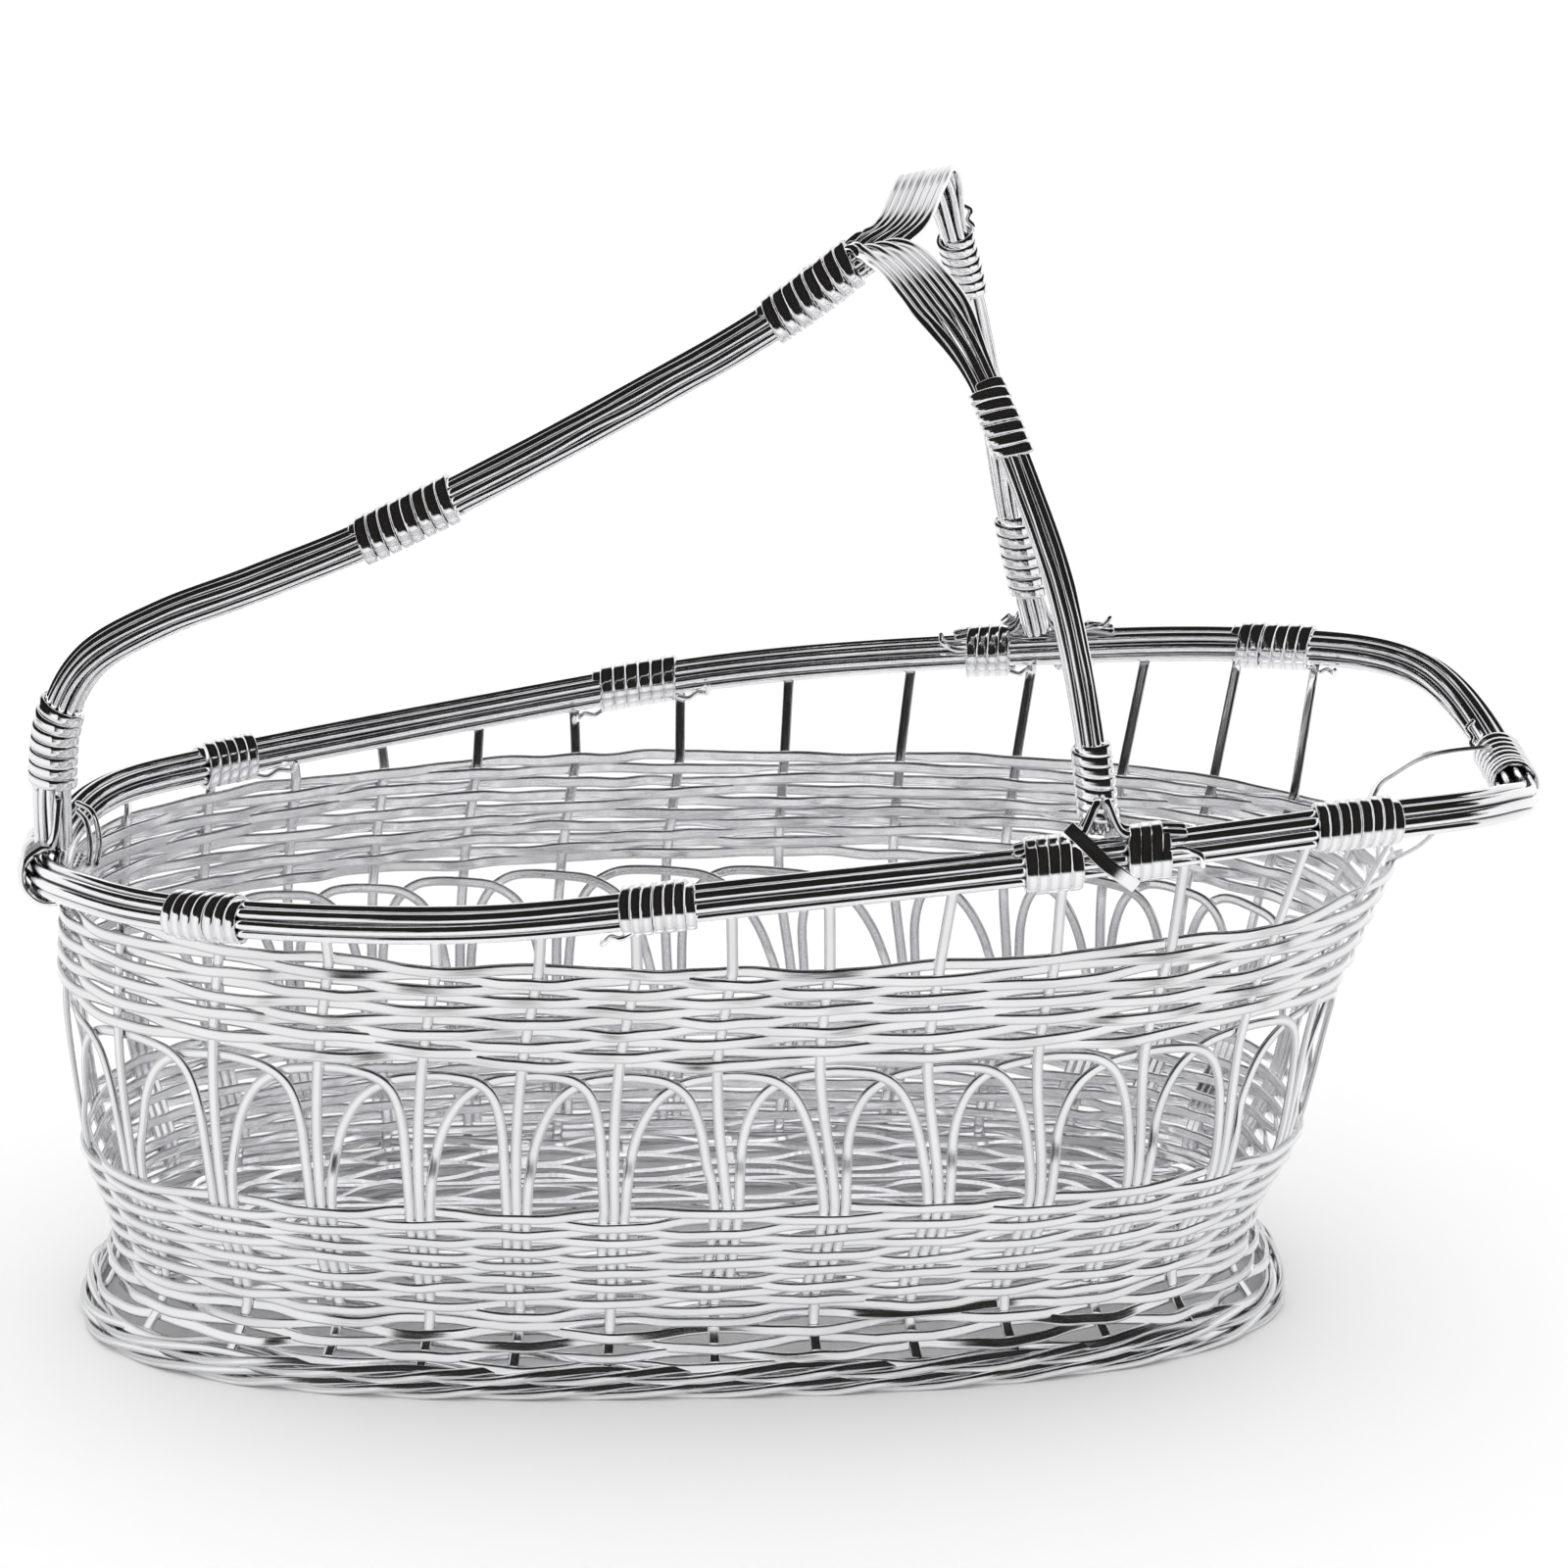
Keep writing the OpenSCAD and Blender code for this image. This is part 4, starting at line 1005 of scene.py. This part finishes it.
def build_floor_stage():
    """Pale paper under the basket; it thins out towards its rim, so it has no visible edge."""
    bpy.ops.mesh.primitive_circle_add(vertices=96, radius=FLOOR_RADIUS, fill_type="NGON")
    paper = bpy.context.object
    paper.name = "studio_floor"
    pale = bpy.data.materials.new("pale_paper")
    pale.use_nodes = True
    nodes, links = pale.node_tree.nodes, pale.node_tree.links
    shader = nodes["Principled BSDF"]
    shader.inputs["Base Color"].default_value = PAPER_WHITE
    shader.inputs["Roughness"].default_value = 0.9
    shader.inputs["Specular IOR Level"].default_value = 0.0
    place = nodes.new("ShaderNodeTexCoord")
    reach = nodes.new("ShaderNodeVectorMath")
    reach.operation = "LENGTH"
    links.new(place.outputs["Object"], reach.inputs[0])
    clear = value_map(nodes, links, reach.outputs["Value"], FLOOR_SOLID * FLOOR_RADIUS,
                      FLOOR_GONE * FLOOR_RADIUS)
    gone = nodes.new("ShaderNodeBsdfTransparent")
    mix = nodes.new("ShaderNodeMixShader")
    links.new(clear, mix.inputs[0])
    links.new(shader.outputs[0], mix.inputs[1])
    links.new(gone.outputs[0], mix.inputs[2])
    links.new(mix.outputs[0], nodes["Material Output"].inputs["Surface"])
    paper.data.materials.append(pale)


# white cards that only the metal sees: place along X, nearest and furthest Y, top, in metres
CARDS = {"left": (-0.175, -0.19, 0.16, 0.115), "right": (0.175, -0.06, 0.10, 0.15)}


def build_cards():
    """Upright white cards beside the basket, which light the ends of the rim in its reflections."""
    glow = bpy.data.materials.new("white_card")
    glow.use_nodes = True
    nodes, links = glow.node_tree.nodes, glow.node_tree.links
    nodes.clear()
    light = nodes.new("ShaderNodeEmission")
    light.inputs["Color"].default_value = CARD_WHITE
    out = nodes.new("ShaderNodeOutputMaterial")
    links.new(light.outputs[0], out.inputs["Surface"])
    for name, (x, y0, y1, z1) in CARDS.items():
        mesh = bpy.data.meshes.new("card_" + name)
        mesh.from_pydata([(x, y0, 0.001), (x, y1, 0.001), (x, y1, z1), (x, y0, z1)], [], [(0, 1, 2, 3)])
        mesh.materials.append(glow)
        card = bpy.data.objects.new("card_" + name, mesh)
        bpy.context.scene.collection.objects.link(card)
        for kind in ("camera", "diffuse", "shadow", "transmission", "volume_scatter"):
            setattr(card, "visible_" + kind, False)


INSIDE_LIFT = 0.85                    # extra light that metal gets after its first reflection
SECOND_DEPTH = 1.5                    # glossy depth between the first reflection and the next
DARK_EDGE, DARK_FULL = 0.62, 0.42     # directions that lie less than this along the view are dark


def build_stage():
    """White paper and white light all round; polished metal also sees a dark room."""
    build_floor_stage()
    build_cards()
    world = bpy.data.worlds.new("studio")
    bpy.context.scene.world = world
    world.use_nodes = True
    nodes, links = world.node_tree.nodes, world.node_tree.links
    nodes.clear()
    coord = nodes.new("ShaderNodeTexCoord")
    to_camera = nodes.new("ShaderNodeVectorTransform")
    to_camera.vector_type = "VECTOR"
    to_camera.convert_from, to_camera.convert_to = "WORLD", "CAMERA"
    links.new(coord.outputs["Generated"], to_camera.inputs[0])
    split = nodes.new("ShaderNodeSeparateXYZ")
    links.new(to_camera.outputs[0], split.inputs[0])
    dark = value_map(nodes, links, split.outputs["Z"], DARK_EDGE, DARK_FULL)
    path = nodes.new("ShaderNodeLightPath")
    first = math_node(nodes, links, "LESS_THAN", path.outputs["Glossy Depth"], SECOND_DEPTH)
    mirrored = math_node(nodes, links, "MULTIPLY", dark, path.outputs["Is Glossy Ray"])
    mirrored = math_node(nodes, links, "MULTIPLY", mirrored, first)
    shade = nodes.new("ShaderNodeMix")
    shade.data_type = "RGBA"
    shade.inputs["A"].default_value = ROOM_WHITE
    shade.inputs["B"].default_value = ROOM_DARK
    links.new(mirrored, shade.inputs["Factor"])
    again = math_node(nodes, links, "GREATER_THAN", path.outputs["Glossy Depth"], SECOND_DEPTH)
    lift = math_node(nodes, links, "MULTIPLY", again, INSIDE_LIFT)
    back = nodes.new("ShaderNodeBackground")
    links.new(shade.outputs["Result"], back.inputs["Color"])
    links.new(math_node(nodes, links, "ADD", lift, 1.0), back.inputs["Strength"])
    out = nodes.new("ShaderNodeOutputWorld")
    links.new(back.outputs[0], out.inputs[0])
    bpy.context.scene.view_settings.view_transform = "Standard"


CAMERA_AZIMUTH, CAMERA_ELEVATION, CAMERA_ROLL = 3.14, 18.83, 0.13
CAMERA_AIM = np.array([0.4995, 0.5, 0.4775])     # where it looks, as a share of the CAD box
CAMERA_REACH = 3.79                              # distance, in lengths of the CAD box
CAMERA_LENS, CAMERA_SENSOR = 132.1, 36.0
CAMERA_CLIP = (0.05, 30.0)                       # in metres


def build_camera():
    lo, hi = np.array(CAD_LO), np.array(CAD_HI)
    aim = Vector(lo + CAMERA_AIM * (hi - lo))
    a, e = math.radians(CAMERA_AZIMUTH), math.radians(CAMERA_ELEVATION)
    back = Vector((-math.sin(a) * math.cos(e), -math.cos(a) * math.cos(e), math.sin(e)))
    data = bpy.data.cameras.new("camera")
    data.lens, data.sensor_width = CAMERA_LENS, CAMERA_SENSOR
    data.clip_start, data.clip_end = CAMERA_CLIP
    camera = bpy.data.objects.new("camera", data)
    bpy.context.scene.collection.objects.link(camera)
    roll = Matrix.Rotation(math.radians(CAMERA_ROLL), 3, "Z")
    turn = (-back).to_track_quat("-Z", "Y").to_matrix() @ roll
    place = aim + back * CAMERA_REACH * (hi[0] - lo[0])
    camera.matrix_world = Matrix.Translation(place) @ turn.to_4x4()
    bpy.context.scene.camera = camera


build_weave()
build_foot()
build_stakes()
build_arcade()
build_floor()
build_rim()
build_rim_wraps()
build_curls()
build_handle()
build_hoop()
build_hoop_feet()
build_stage()
build_camera()
